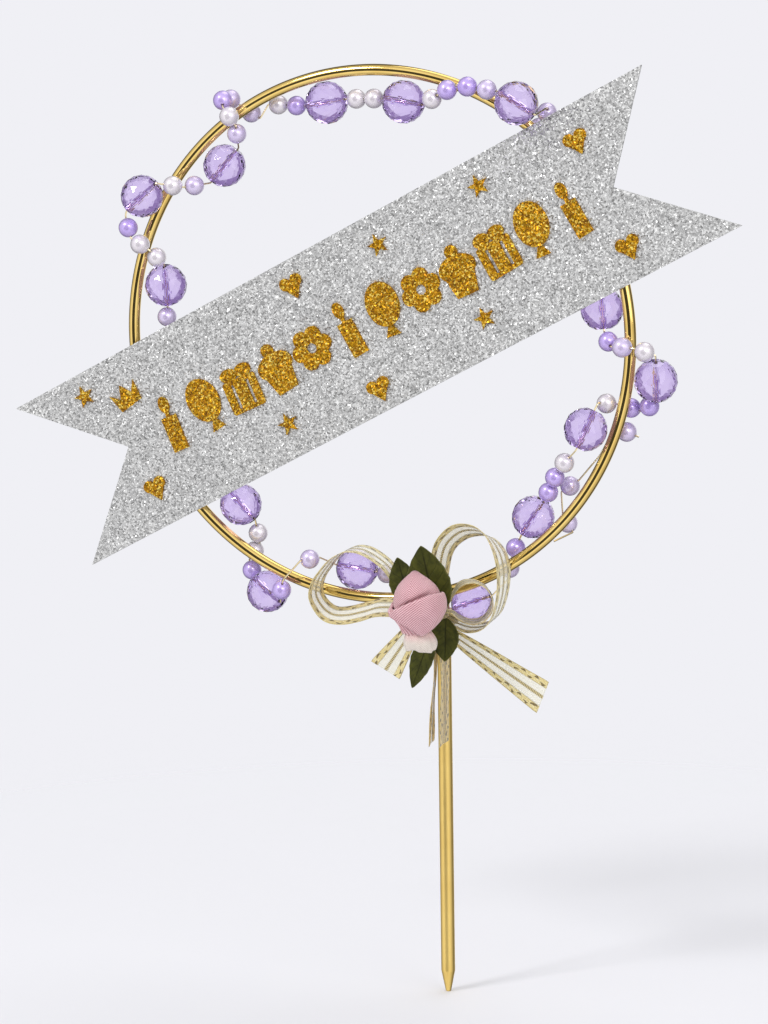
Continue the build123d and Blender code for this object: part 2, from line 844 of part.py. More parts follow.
left_tail_plane = bow_plane.offset((ribbon_width - ribbon_thickness) / 2)
with BuildPart() as left_tail:
    with BuildSketch(left_tail_plane):
        with Locations((-left_tail_root_shift, -left_tail_root_drop)):
            Circle(tail_root_diameter / 2)
        with Locations((-left_tail_shift, -left_tail_drop)):
            Rectangle(left_tail_length, ribbon_width, rotation=left_tail_slope)
        make_hull()
    extrude(amount=ribbon_thickness)
left_tail.part.label = "left_tail"
export_step(left_tail.part, "parts/left_tail.step")

# Hanging tails: ribbon ends below the knot, with their width from front to back
hanging_top = -half_knot_height - bow_seat
hanging_foot = hanging_top - hanging_tail_length
with BuildPart() as hanging_tail:
    with BuildSketch(bow_plane):
        with BuildLine():
            ThreePointArc(
                (hanging_tail_root_shift, hanging_top),
                (hanging_tail_root_shift + hanging_tail_bulge, (hanging_top + hanging_foot) / 2),
                (hanging_tail_root_shift + hanging_tail_sway, hanging_foot),
            )
        trace(line_width=ribbon_thickness)
    extrude(amount=ribbon_width)
hanging_tail.part.label = "hanging_tail"
export_step(hanging_tail.part, "parts/hanging_tail.step")

tail_turn = math.radians(turned_tail_angle)
turned_plane = Plane(
    origin=(turned_tail_root_shift, bow_back - ribbon_width / 2, bow_height),
    x_dir=(math.cos(tail_turn), math.sin(tail_turn), 0),
    z_dir=(math.sin(tail_turn), -math.cos(tail_turn), 0),
)
with BuildPart() as turned_tail:
    with BuildSketch(turned_plane):
        with BuildLine():
            ThreePointArc(
                (0, hanging_top),
                (-turned_tail_bulge, (hanging_top + hanging_foot) / 2),
                (turned_tail_sway, hanging_foot),
            )
        trace(line_width=ribbon_thickness)
    extrude(amount=ribbon_width / 2, both=True)
turned_tail.part.label = "turned_tail"
export_step(turned_tail.part, "parts/turned_tail.step")

# Leaves: two blades that meet in a shallow fold over a vein
tie_front = bow_front - tie_fit - tie_thickness
leaf_back = tie_front - leaf_seat - leaf_vein_diameter / 2
leaf_belly_share = 0.42


def leaf(shift, rise, layer, angle, length, width):
    """A folded leaf that lies in front of the knot and points along the given angle."""
    turn = math.radians(angle)
    fold = math.radians(leaf_fold)
    root = Vector(shift, leaf_back - layer * leaf_layer_spacing, bow_height + rise)
    along = Vector(math.cos(turn), 0, math.sin(turn))
    across = Vector(-math.sin(turn), 0, math.cos(turn))
    front = Vector(0, -1, 0)
    with BuildPart() as blades:
        for side in (1, -1):
            facing = front * math.cos(fold) - across * (side * math.sin(fold))
            with BuildSketch(Plane(origin=root, x_dir=along, z_dir=facing)):
                with BuildLine():
                    Line((0, 0), (length, 0))
                    ThreePointArc((length, 0), (length * leaf_belly_share, side * width / 2), (0, 0))
                make_face()
            extrude(amount=leaf_thickness)
        with BuildSketch(Plane(origin=root, z_dir=along)):
            RegularPolygon(leaf_vein_diameter / 2, 6)
        extrude(amount=length)
    return blades.part


leaves = {
    "top_leaf": leaf(
        top_leaf_shift, top_leaf_rise, 1, top_leaf_angle, top_leaf_length, top_leaf_width
    ),
    "left_leaf": leaf(
        left_leaf_shift, left_leaf_rise, 0, left_leaf_angle, left_leaf_length, left_leaf_width
    ),
    "right_leaf": leaf(
        right_leaf_shift, right_leaf_rise, 0, right_leaf_angle, right_leaf_length, right_leaf_width
    ),
    "lower_leaf": leaf(
        lower_leaf_shift, lower_leaf_rise, 1, lower_leaf_angle, lower_leaf_length, lower_leaf_width
    ),
}
for label, leaf_part in leaves.items():
    leaf_part.label = label
    export_step(leaf_part, f"parts/{label}.step")

# Rosebud: a folded core with two wrapped petals over a pale gathered foot
leaf_rise = top_leaf_width / 2 * math.sin(math.radians(leaf_fold))
leaf_front_depth = leaf_layer_spacing + leaf_thickness + leaf_rise
bud_axis_depth = leaf_back - leaf_front_depth - leaf_seat - bud_width / 2
bud_origin = Vector(bud_shift, bud_axis_depth, bow_height - bud_drop)
bud_axis = Axis(bud_origin, (0, 0, 1))


def bud_plane(turn):
    """An upright plane through the bud's axis, turned about it, with its x pointing outward."""
    angle = math.radians(turn)
    return Plane(
        origin=bud_origin,
        x_dir=(math.cos(angle), math.sin(angle), 0),
        z_dir=(math.sin(angle), -math.cos(angle), 0),
    )


def bud_profile(extra):
    """The bud's side from its foot over the belly to the tip, set out by an extra distance."""
    foot = (bud_foot_width / 2 + extra, 0)
    belly = (bud_width / 2 + extra, bud_belly_rise)
    tip = (bud_tip_width / 2 + extra, bud_height)
    return [TangentArc(belly, foot, tangent=(0, -1)), TangentArc(belly, tip, tangent=(0, 1))]


with BuildPart() as bud_core:
    with BuildSketch(bud_plane(0)):
        with BuildLine():
            bud_profile(0)
            Polyline((bud_tip_width / 2, bud_height), (0, bud_height), (0, 0), (bud_foot_width / 2, 0))
        make_face()
    revolve(axis=bud_axis)
bud_core.part.label = "bud_core"
export_step(bud_core.part, "parts/bud_core.step")

inner_offset = petal_gap + petal_thickness / 2
outer_offset = inner_offset + petal_thickness + petal_gap

with BuildPart() as inner_petal:
    with BuildSketch(bud_plane(inner_petal_start)):
        with BuildLine():
            bud_profile(inner_offset)
        trace(line_width=petal_thickness)
    revolve(axis=bud_axis, revolution_arc=inner_petal_wrap)
    inner_rim = math.radians(inner_petal_slope)
    split(
        bisect_by=Plane(
            origin=bud_origin + Vector(0, 0, inner_petal_rise),
            z_dir=(-math.sin(inner_rim), 0, math.cos(inner_rim)),
        ),
        keep=Keep.BOTTOM,
    )
inner_petal.part.label = "inner_petal"
export_step(inner_petal.part, "parts/inner_petal.step")

with BuildPart() as outer_petal:
    with BuildSketch(bud_plane(outer_petal_start)):
        with BuildLine():
            bud_profile(outer_offset)
        trace(line_width=petal_thickness)
    revolve(axis=bud_axis, revolution_arc=outer_petal_wrap)
    outer_rim = math.radians(outer_petal_slope)
    split(
        bisect_by=Plane(
            origin=bud_origin + Vector(0, 0, outer_petal_rise),
            z_dir=(-math.sin(outer_rim), 0, math.cos(outer_rim)),
        ),
        keep=Keep.BOTTOM,
    )
outer_petal.part.label = "outer_petal"
export_step(outer_petal.part, "parts/outer_petal.step")

with BuildPart() as bud_foot:
    with BuildSketch(bud_plane(0)):
        with BuildLine():
            Polyline(
                (0, 0),
                (bud_foot_width / 2, 0),
                (bud_hem_width / 2, -bud_foot_height),
                (0, -bud_foot_height),
                close=True,
            )
        make_face()
    revolve(axis=bud_axis)
bud_foot.part.label = "bud_foot"
export_step(bud_foot.part, "parts/bud_foot.step")
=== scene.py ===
"""Dresses the cake topper: gold hoop and pick, bead string, glitter banner, ribbon bow and rosebud.

Sizes are in millimetres in the part's own frame until a mesh is made, and the front faces -Y.
"""

import json
import logging
import math
from dataclasses import dataclass
from enum import Enum
from typing import Any, Optional, Sequence, Union

import bpy
import numpy as np
from mathutils import Matrix, Vector


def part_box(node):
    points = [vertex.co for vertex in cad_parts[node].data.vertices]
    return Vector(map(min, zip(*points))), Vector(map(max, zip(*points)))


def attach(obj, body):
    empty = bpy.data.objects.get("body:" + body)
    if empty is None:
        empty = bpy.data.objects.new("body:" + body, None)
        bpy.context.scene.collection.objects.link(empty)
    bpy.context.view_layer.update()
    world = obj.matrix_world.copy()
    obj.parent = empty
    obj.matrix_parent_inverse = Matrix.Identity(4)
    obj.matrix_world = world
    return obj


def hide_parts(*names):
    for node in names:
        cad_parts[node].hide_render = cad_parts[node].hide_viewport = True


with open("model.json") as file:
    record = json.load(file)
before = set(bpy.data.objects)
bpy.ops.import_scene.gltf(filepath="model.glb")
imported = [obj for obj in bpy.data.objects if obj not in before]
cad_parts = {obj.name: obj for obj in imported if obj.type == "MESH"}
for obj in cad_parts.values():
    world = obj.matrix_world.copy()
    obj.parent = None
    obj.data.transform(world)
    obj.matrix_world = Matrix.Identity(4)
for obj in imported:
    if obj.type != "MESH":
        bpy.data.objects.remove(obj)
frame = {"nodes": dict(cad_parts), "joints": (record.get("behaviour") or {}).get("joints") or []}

LOG = logging.getLogger("cake_topper")
METRES = 0.001
MAIN_BODY = "topper"
Colour = tuple[float, float, float]
Stops = tuple[tuple[float, Colour], ...]
Value = Union["Socket", float]
Part = Union[np.ndarray, float]


# Shader graphs


class Socket:
    """One output of a shader graph, with the operators that the finishes use on values."""

    def __init__(self, graph: "Graph", link: Any) -> None:
        """Keeps the graph and the socket that it wraps."""
        self.graph = graph
        self.link = link

    def math(self, operation: str, *others: Value) -> "Socket":
        """Adds one Math node that takes this value first and the others after it."""
        return self.graph.math(operation, self, *others)

    def __add__(self, other: Value) -> "Socket":
        """This value plus another."""
        return self.math("ADD", other)

    def __sub__(self, other: Value) -> "Socket":
        """This value minus another."""
        return self.math("SUBTRACT", other)

    def __rsub__(self, other: float) -> "Socket":
        """A number minus this value."""
        return self.graph.math("SUBTRACT", other, self)

    def __mul__(self, other: Value) -> "Socket":
        """This value times another."""
        return self.math("MULTIPLY", other)

    def __truediv__(self, other: Value) -> "Socket":
        """This value over another."""
        return self.math("DIVIDE", other)

    def __abs__(self) -> "Socket":
        """This value without its sign."""
        return self.math("ABSOLUTE")

    def wave(self) -> "Socket":
        """A sine of one turn for each whole step of this value, brought to 0 to 1."""
        return (self * math.tau).math("SINE") * 0.5 + 0.5

    def step(self, start: float, end: float) -> "Socket":
        """A smooth rise from 0 to 1 as this value goes from start to end.

        Args:
            start: where the rise begins.
            end: where it is complete.

        Returns:
            The rise, from 0 to 1.
        """
        settings = {"interpolation_type": "SMOOTHSTEP"}
        inputs = {"Value": self, "From Min": start, "From Max": end, "To Min": 0.0, "To Max": 1.0}
        return self.graph.node("ShaderNodeMapRange", settings, inputs)

    def band(self, middle: float, half: float, soft: float) -> "Socket":
        """A mask that is 1 within half a width of a middle value and fades over a soft edge."""
        return 1.0 - abs(self - middle).step(half - soft, half + soft)


class Graph:
    """The node tree of one material or world, with one method that adds any node."""

    noise_roughness: float = 0.55

    def __init__(self, tree: bpy.types.NodeTree) -> None:
        """Empties the tree that it builds in."""
        self.tree = tree
        tree.nodes.clear()

    def node(
        self,
        kind: str,
        settings: Optional[dict[str, Any]] = None,
        inputs: Optional[dict[Union[int, str], Any]] = None,
        output: Union[int, str] = 0,
    ) -> Socket:
        """Adds a node, sets it up and links it.

        Args:
            kind: the node's type.
            settings: its attributes, set first; "stops" are a ramp's places and colours.
            inputs: its sockets by name or number, each a number, a colour or a Socket.
            output: the socket that is returned.

        Returns:
            The chosen output.
        """
        node = self.tree.nodes.new(kind)
        for name, value in (settings or {}).items():
            if name == "stops":
                self.set_stops(node.color_ramp, value)
            else:
                setattr(node, name, value)
        for key, value in (inputs or {}).items():
            if isinstance(value, Socket):
                self.tree.links.new(value.link, node.inputs[key])
            else:
                node.inputs[key].default_value = value
        return Socket(self, node.outputs[output] if node.outputs else None)

    def math(self, operation: str, *values: Value) -> Socket:
        """Adds one Math node on some values, in order."""
        return self.node("ShaderNodeMath", {"operation": operation}, dict(enumerate(values)))

    @staticmethod
    def set_stops(ramp: bpy.types.ColorRamp, stops: Stops) -> None:
        """Gives a colour ramp its stops, in order.

        Args:
            ramp: the ramp.
            stops: its places, each with a colour.
        """
        while len(ramp.elements) < len(stops):
            ramp.elements.new(1.0)
        for element, (place, colour) in zip(ramp.elements, stops):
            element.position = place
            element.color = (*colour, 1.0)

    def ramp(self, value: Socket, stops: Stops) -> Socket:
        """A colour read from stops by a value between 0 and 1."""
        return self.node("ShaderNodeValToRGB", {"stops": stops}, {"Fac": value}, "Color")

    def mix(self, factor: Value, first: Any, second: Any) -> Socket:
        """A colour between two colours.

        Args:
            factor: the second colour's share.
            first: the first colour, a Socket or a tuple of three.
            second: the second colour, given in the same way.

        Returns:
            The mixed colour.
        """
        sides = [(*side, 1.0) if isinstance(side, tuple) else side for side in (first, second)]
        inputs = {0: factor, 6: sides[0], 7: sides[1]}
        return self.node("ShaderNodeMix", {"data_type": "RGBA"}, inputs, 2)

    def vector(self, operation: str, inputs: dict[Union[int, str], Any], output: str = "Vector") -> Socket:
        """Adds one Vector Math node and returns its vector or its value."""
        return self.node("ShaderNodeVectorMath", {"operation": operation}, inputs, output)

    def place(self) -> Socket:
        """The point's place in the part's frame, in metres."""
        return self.node("ShaderNodeTexCoord", output="Object")

    def scaled(self, scale: tuple[float, float, float]) -> Socket:
        """The point's place in the part's frame, stretched along each axis."""
        return self.node("ShaderNodeMapping", None, {"Vector": self.place(), "Scale": scale})

    def axes(self, vector: Socket) -> list[Socket]:
        """The three parts of a vector."""
        parts = self.node("ShaderNodeSeparateXYZ", None, {0: vector}).link.node
        return [Socket(self, parts.outputs[index]) for index in range(3)]

    def sheet_place(self) -> tuple[Socket, Socket]:
        """The piece's own map: across it, and along it."""
        across, along, _ = self.axes(self.node("ShaderNodeTexCoord", output="UV"))
        return across, along

    def noise(self, vector: Socket, scale: float, detail: float = 3.0) -> Socket:
        """Cloudy noise from 0 to 1 with features of about one over scale."""
        inputs = {"Vector": vector, "Scale": scale, "Detail": detail, "Roughness": self.noise_roughness}
        return self.node("ShaderNodeTexNoise", None, inputs, "Fac")

    def bump(self, height: Socket, depth: float, strength: float = 1.0) -> Socket:
        """A normal bent by a height from 0 to 1 that stands for a depth in metres."""
        return self.node("ShaderNodeBump", None, {"Strength": strength, "Distance": depth, "Height": height})


# Finishes


def dimmed(colour: Colour, share: float) -> Colour:
    """A colour brought down to a share of its brightness."""
    return tuple(value * share for value in colour)


def greys(*levels: tuple[float, float]) -> Stops:
    """The stops of a colour ramp from places and grey levels."""
    return tuple((place, (level, level, level)) for place, level in levels)


class Lay(Enum):
    """How the fine marks of a metal run, by how often they change along each axis in a metre."""

    UPRIGHT = (900.0, 900.0, 24.0)
    CLOUDY = (420.0, 420.0, 420.0)


@dataclass(frozen=True)
class Finish:
    """A named material, which each kind of finish fills in."""

    name: str

    def material(self) -> bpy.types.Material:
        """Makes the material, which ends in one Principled surface.

        Returns:
            The material.
        """
        material = bpy.data.materials.new(self.name)
        material.use_nodes = True
        graph = Graph(material.node_tree)
        shader = graph.node("ShaderNodeBsdfPrincipled", None, self.sockets(graph))
        graph.node("ShaderNodeOutputMaterial", None, {"Surface": shader})
        return material

    def sockets(self, graph: Graph) -> dict[str, Any]:
        """Adds the finish's own nodes and gives what goes into each of the surface's sockets."""
        raise NotImplementedError


@dataclass(frozen=True)
class GoldFinish(Finish):
    """Gold plate on wire or rod: a warm metal with faint marks and uneven gloss."""

    colour: Colour
    shade: Colour
    roughness: float
    spread: float
    lay: Lay
    mark_depth: float
    cloud_scale: float = 95.0

    def sockets(self, graph: Graph) -> dict[str, Any]:
        """Noise that runs along the marks, over larger clouds.

        Args:
            graph: the material's graph.

        Returns:
            What goes into each of the surface's sockets.
        """
        marks = graph.noise(graph.scaled(self.lay.value), 1.0, 4.0)
        clouds = graph.noise(graph.place(), self.cloud_scale, 2.0)
        uneven = clouds.step(0.35, 0.75) * 0.6 + marks * 0.25
        return {
            "Base Color": graph.mix(uneven, self.colour, self.shade),
            "Metallic": 1.0,
            "Roughness": marks * self.spread + self.roughness,
            "Normal": graph.bump(marks, self.mark_depth),
        }


@dataclass(frozen=True)
class AcrylicFinish(Finish):
    """Clear tinted acrylic: cut facets that bend the light, faintly streaked inside."""

    colour: Colour
    streak: Colour
    streak_scale: float = 260.0
    bending: float = 1.49

    def sockets(self, graph: Graph) -> dict[str, Any]:
        """A clear body between two tints.

        Args:
            graph: the material's graph.

        Returns:
            What goes into each of the surface's sockets.
        """
        streaks = graph.noise(graph.place(), self.streak_scale, 2.0)
        return {
            "Base Color": graph.mix(streaks.step(0.3, 0.7), self.colour, self.streak),
            "Roughness": streaks * 0.03 + 0.01,
            "IOR": self.bending,
            "Transmission Weight": 1.0,
        }


@dataclass(frozen=True)
class PearlFinish(Finish):
    """Pearl lacquer over a plastic ball: a soft body under a clear glossy coat."""

    colour: Colour
    blush: Colour
    cloud_scale: float = 330.0
    roughness: float = 0.26
    metallic: float = 0.3
    coat_roughness: float = 0.05
    grain_depth: float = 0.00002

    def sockets(self, graph: Graph) -> dict[str, Any]:
        """A body clouded between its two colours, and the coat.

        Args:
            graph: the material's graph.

        Returns:
            What goes into each of the surface's sockets.
        """
        clouds = graph.noise(graph.place(), self.cloud_scale, 3.0)
        return {
            "Base Color": graph.mix(clouds.step(0.3, 0.7), self.colour, self.blush),
            "Roughness": clouds * 0.10 + self.roughness,
            "Metallic": self.metallic,
            "Coat Weight": 1.0,
            "Coat Roughness": self.coat_roughness,
            "Normal": graph.bump(clouds, self.grain_depth),
        }


@dataclass(frozen=True)
class GlitterFinish(Finish):
    """Glitter card: flakes of foil, each with its own tilt and a brightness of painted glint and shade."""

    flake: float
    stops: Stops
    metallic: float
    back: Colour = (0.78, 0.78, 0.76)
    tilt: float = 1.1
    coarse_scale: float = 900.0

    def sockets(self, graph: Graph) -> dict[str, Any]:
        """One Voronoi cell for each flake on the front, and plain paper on the back.

        Args:
            graph: the material's graph.

        Returns:
            What goes into each of the surface's sockets.
        """
        cells = {"Vector": graph.place(), "Scale": 1.0 / (self.flake * METRES)}
        tint = graph.node("ShaderNodeTexVoronoi", None, cells, "Color")
        # Each flake's random level picks its colour from the stops: painted shade at the dark end, painted
        # glint at the bright end
        shade, gloss, _ = graph.axes(tint)
        coarse = graph.noise(graph.place(), self.coarse_scale, 2.0)
        lean = graph.vector("MULTIPLY_ADD", {0: tint, 1: (self.tilt,) * 3, 2: (-self.tilt / 2,) * 3})
        face = graph.node("ShaderNodeNewGeometry", output="Normal")
        _, depth, _ = graph.axes(graph.node("ShaderNodeTexCoord", output="Normal"))
        paper = depth.step(0.4, 0.8)
        kept = graph.vector("SCALE", {0: lean, "Scale": 1.0 - paper})
        tilted = graph.vector("ADD", {0: face, 1: kept})
        return {
            "Base Color": graph.mix(paper, graph.ramp(shade * 0.8 + coarse * 0.2, self.stops), self.back),
            "Metallic": (1.0 - paper) * self.metallic,
            "Roughness": gloss * 0.35 + paper * 0.3 + 0.18,
            "Normal": graph.vector("NORMALIZE", {0: tilted}),
        }


@dataclass(frozen=True)
class RibbonFinish(Finish):
    """Sheer ribbon: a cream weave between two braided gold edges, with a dark thread down its middle."""

    cream: Colour
    gold: Colour
    # The braid's bright gold is the colour of its painted glints
    glint_gold: Colour
    dark: Colour
    edge: float = 0.56
    middle: float = 0.10
    link: float = 0.23
    thread: float = 0.034
    strand: float = 0.045
    hatch: float = 0.05
    body: float = 0.28
    weave_depth: float = 0.00014
    wander_scale: float = 520.0
    painted_glint_scale: float = 1900.0

    def sockets(self, graph: Graph) -> dict[str, Any]:
        """Weave and braid on the ribbon's own map: across from 0 to 1, along in ribbon widths.

        Args:
            graph: the material's graph.

        Returns:
            What goes into each of the surface's sockets.
        """
        across, along = graph.sheet_place()
        outward = abs(across - 0.5) * 2.0
        edge = outward.step(self.edge - 0.03, self.edge + 0.03)
        middle = outward.band(0.0, self.middle, 0.03)
        weave = (along / self.thread).wave() * 0.55 + (across / self.thread).wave() * 0.45
        row = (outward - self.edge) / (1.0 - self.edge)
        wander = graph.noise(graph.place(), self.wander_scale, 1.0) - 0.5
        swing = ((along / self.link + wander * 0.9) * math.pi).math("SINE")
        links = (abs(swing) * 0.24 - abs(row - 0.5 - swing * 0.26 - wander * 0.5)).step(0.03, 0.12)
        rims = row.band(0.03, 0.05, 0.04) + row.band(0.95, 0.05, 0.04)
        strands = ((along + row * 0.12) / self.strand).wave()
        # Painted glints: noise flecks of bright gold on the braid, over its strand pattern
        painted_glints = graph.noise(graph.place(), self.painted_glint_scale, 2.0).step(0.50, 0.68)
        threads = graph.mix(painted_glints * 0.6 + strands * 0.4, self.gold, self.glint_gold)
        braid = graph.mix(links * 0.90 + rims * 0.42, threads, self.dark)
        hatch = (along / self.hatch + across * 2.5).wave().step(0.30, 0.75)
        rib = graph.mix(hatch, self.dark, self.gold)
        body = graph.mix(weave * 0.30, self.cream, dimmed(self.cream, 0.84))
        lined = graph.mix(middle * 0.85, body, rib)
        height = weave * 0.4 + edge * (strands * 0.3 - links * 0.5 + 0.5)
        sheer = weave * 0.25 + edge * 0.95 + middle * 0.55 + self.body
        return {
            "Base Color": graph.mix(edge, lined, braid),
            "Metallic": edge * (1.0 - links) * 0.25 + middle * 0.15,
            "Roughness": 0.55 - edge * 0.2,
            "Alpha": sheer.math("MINIMUM", 1.0),
            "Sheen Weight": 0.3,
            "Normal": graph.bump(height, self.weave_depth, 0.8),
        }


@dataclass(frozen=True)
class TwillFinish(Finish):
    """Woven rosebud cloth: fine slanted ribs, which turn pale between two heights in the part's frame."""

    colour: Colour
    shade: Colour
    pale_from: float
    pale_to: float
    pale: Colour = (0.90, 0.80, 0.72)
    rib: float = 0.62
    rib_depth: float = 0.00011
    cloud_scale: float = 230.0

    def sockets(self, graph: Graph) -> dict[str, Any]:
        """Ribs on the cloth's own map, in millimetres across and up.

        Args:
            graph: the material's graph.

        Returns:
            What goes into each of the surface's sockets.
        """
        across, up = graph.sheet_place()
        ribs = ((abs(across) * 0.8 + up) / self.rib).wave().step(0.15, 0.85)
        cross = ((up - across * 0.35) / (self.rib * 0.8)).wave()
        weave = ribs * 0.75 + cross * 0.25
        clouds = graph.noise(graph.place(), self.cloud_scale, 3.0)
        _, _, height = graph.axes(graph.place())
        wavering = height + (clouds - 0.5) * 0.002
        paleness = 1.0 - wavering.step(self.pale_from * METRES, self.pale_to * METRES)
        pink = graph.mix(weave * 0.75 + clouds * 0.25, self.shade, self.colour)
        cream = graph.mix(weave * 0.5, dimmed(self.pale, 0.82), self.pale)
        return {
            "Base Color": graph.mix(paleness, pink, cream),
            "Roughness": 0.62 - weave * 0.12,
            "Sheen Weight": 0.35,
            "Sheen Roughness": 0.4,
            "Normal": graph.bump(weave, self.rib_depth, 0.9),
        }


@dataclass(frozen=True)
class LeafFinish(Finish):
    """Stiff satin leaf: dark green with a sunk midrib, slanted side veins and a lighter edge."""

    colour: Colour
    shade: Colour
    edge: Colour
    veins: float = 6.5
    fibres: float = 55.0
    vein_depth: float = 0.00018
    cloud_scale: float = 420.0

    def sockets(self, graph: Graph) -> dict[str, Any]:
        """Veins on the leaf's own map: across from -1 to 1, along from root to tip.

        Args:
            graph: the material's graph.

        Returns:
            What goes into each of the surface's sockets.
        """
        across, along = graph.sheet_place()
        side = abs(across)
        rib = 1.0 - side.step(0.02, 0.09)
        slant = (along * self.veins - side * 1.7).math("FRACT")
        veins = slant.band(0.5, 0.05, 0.05) * side.step(0.04, 0.12)
        clouds = graph.noise(graph.place(), self.cloud_scale, 4.0)
        fibre = (along * self.fibres + side * 20.0).wave()
        green = graph.mix(clouds.step(0.25, 0.75), self.shade, self.colour)
        lined = graph.mix(rib * 0.7 + veins * 0.35, green, dimmed(self.shade, 0.35))
        relief = fibre * 0.15 + clouds * 0.3 - rib * 0.6 - veins * 0.4
        return {
            "Base Color": graph.mix(side.step(0.90, 1.0) * 0.6, lined, self.edge),
            "Roughness": clouds * 0.2 + 0.45,
            "Specular IOR Level": 0.15,
            "Normal": graph.bump(relief, self.vein_depth, 0.9),
        }


@dataclass(frozen=True)
class CordFinish(Finish):
    """Metallic cord or cured glue: a body colour crossed by fine slanted strands."""

    colour: Colour
    shade: Colour
    strands: float
    metallic: float
    roughness: float
    strand_depth: float = 0.00008
    cloud_scale: float = 700.0

    def sockets(self, graph: Graph) -> dict[str, Any]:
        """Strands that slant up round the piece.

        Args:
            graph: the material's graph.

        Returns:
            What goes into each of the surface's sockets.
        """
        x, y, z = graph.axes(graph.place())
        twist = ((x + y + z * 1.5) * self.strands).wave()
        clouds = graph.noise(graph.place(), self.cloud_scale, 3.0)
        return {
            "Base Color": graph.mix(twist * 0.7 + clouds * 0.3, self.shade, self.colour),
            "Metallic": self.metallic,
            "Roughness": clouds * 0.15 + self.roughness,
            "Normal": graph.bump(twist, self.strand_depth),
        }


@dataclass(frozen=True)
class FloorFinish(Finish):
    """Pale matt floor that fades out between two distances from the pick, in metres."""

    colour: Colour
    shade: Colour
    fade_from: float
    fade_to: float
    grain_scale: float = 30.0

    def sockets(self, graph: Graph) -> dict[str, Any]:
        """Faint grain, and cover that falls off round the pick.

        Args:
            graph: the material's graph.

        Returns:
            What goes into each of the surface's sockets.
        """
        x, y, _ = graph.axes(graph.place())
        reach = (x * x + y * y).math("SQRT")
        grain = graph.noise(graph.place(), self.grain_scale, 2.0)
        return {
            "Base Color": graph.mix(grain * 0.1, self.colour, self.shade),
            "Roughness": 0.9,
            "Alpha": 1.0 - reach.step(self.fade_from, self.fade_to),
        }


POLISHED_GOLD = GoldFinish(
    "polished_gold", (0.84, 0.62, 0.22), (0.70, 0.47, 0.13), 0.03, 0.07, Lay.CLOUDY, 0.000003
)
SATIN_GOLD = GoldFinish(
    "satin_gold", (0.95, 0.70, 0.24), (0.82, 0.57, 0.17), 0.40, 0.10, Lay.UPRIGHT, 0.000008
)
DRAWN_GOLD = GoldFinish("gold_wire", (0.86, 0.74, 0.48), (0.74, 0.60, 0.34), 0.18, 0.10, Lay.CLOUDY, 0.000004)
LILAC_ACRYLIC = AcrylicFinish("lilac_acrylic", (0.74, 0.62, 0.95), (0.67, 0.54, 0.93))
PEARLS = {
    "white_pearls": PearlFinish("white_pearl", (0.72, 0.68, 0.72), (0.63, 0.58, 0.66)),
    "pale_lilac_pearls": PearlFinish("pale_lilac_pearl", (0.62, 0.54, 0.75), (0.56, 0.47, 0.71)),
    "lilac_pearls": PearlFinish("lilac_pearl", (0.51, 0.39, 0.77), (0.44, 0.32, 0.73)),
}
# The glitter stops run from painted shade to painted glint
SILVER_GLITTER = GlitterFinish(
    "silver_glitter", 0.42, greys((0.0, 0.20), (0.35, 0.46), (0.65, 0.63), (1.0, 1.0)), 0.35
)
GOLD_GLITTER = GlitterFinish(
    "gold_glitter",
    0.40,
    (
        (0.0, (0.10, 0.03, 0.001)),
        (0.4, (0.39, 0.17, 0.002)),
        (0.7, (0.66, 0.35, 0.006)),
        (1.0, (1.0, 0.86, 0.24)),
    ),
    0.76,
)
# Each ribbon's third colour is the bright gold of the painted glints on its braid
CREAM_RIBBON = RibbonFinish(
    "cream_ribbon", (1.0, 0.97, 0.80), (0.80, 0.64, 0.24), (1.0, 0.95, 0.66), (0.15, 0.10, 0.03)
)
THIN_RIBBON = RibbonFinish(
    "thin_ribbon",
    CREAM_RIBBON.cream,
    (0.66, 0.46, 0.12),
    (0.94, 0.80, 0.42),
    (0.10, 0.06, 0.015),
    edge=0.36,
    link=0.17,
    body=0.06,
)
PINK_TWILL = TwillFinish("pink_twill", (0.96, 0.66, 0.70), (0.42, 0.12, 0.16), 98.6, 102.0)
FOOT_CLOTH = TwillFinish("foot_cloth", (0.90, 0.66, 0.64), (0.78, 0.50, 0.48), 98.2, 101.2)
GREEN_SATIN = LeafFinish("green_satin", (0.086, 0.090, 0.014), (0.038, 0.042, 0.007), (0.14, 0.14, 0.04))
GOLD_CORD = CordFinish("gold_cord", (0.80, 0.62, 0.24), (0.42, 0.28, 0.08), 1100.0, 0.6, 0.32)
CLEAR_GLUE = CordFinish("clear_glue", (0.84, 0.83, 0.78), (0.74, 0.73, 0.68), 90.0, 0.0, 0.28)
PALE_FLOOR = FloorFinish("pale_floor", (0.80, 0.80, 0.84), (0.77, 0.77, 0.81), 0.08, 0.42)


# Surfaces worked out on grids


SPAN_STEPS = 40
LEAST_FLAT_SHARE = 0.32


def full_turn(count: int) -> np.ndarray:
    """Angles at equal steps of a full turn, in radians."""
    return np.arange(count) / count * math.tau


def half_turns(degrees: np.ndarray) -> np.ndarray:
    """Angles brought to between -180 and 180 degrees."""
    return (degrees + 180.0) % 360.0 - 180.0


def unit(vectors: np.ndarray) -> np.ndarray:
    """Vectors brought to length one."""
    return vectors / np.linalg.norm(vectors, axis=-1, keepdims=True)


def on_grid(*parts: Part) -> np.ndarray:
    """Coordinates spread over one grid, with each point's own on the last axis."""
    return np.stack(np.broadcast_arrays(*parts), axis=-1)


def stacked(*parts: Part, ends: Sequence[Sequence[float]] = ()) -> np.ndarray:
    """The points of a grid, one row each from an array for each coordinate, with single points after them."""
    grid = on_grid(*parts).reshape(-1, len(parts))
    return np.concatenate([grid, ends]) if len(ends) else grid


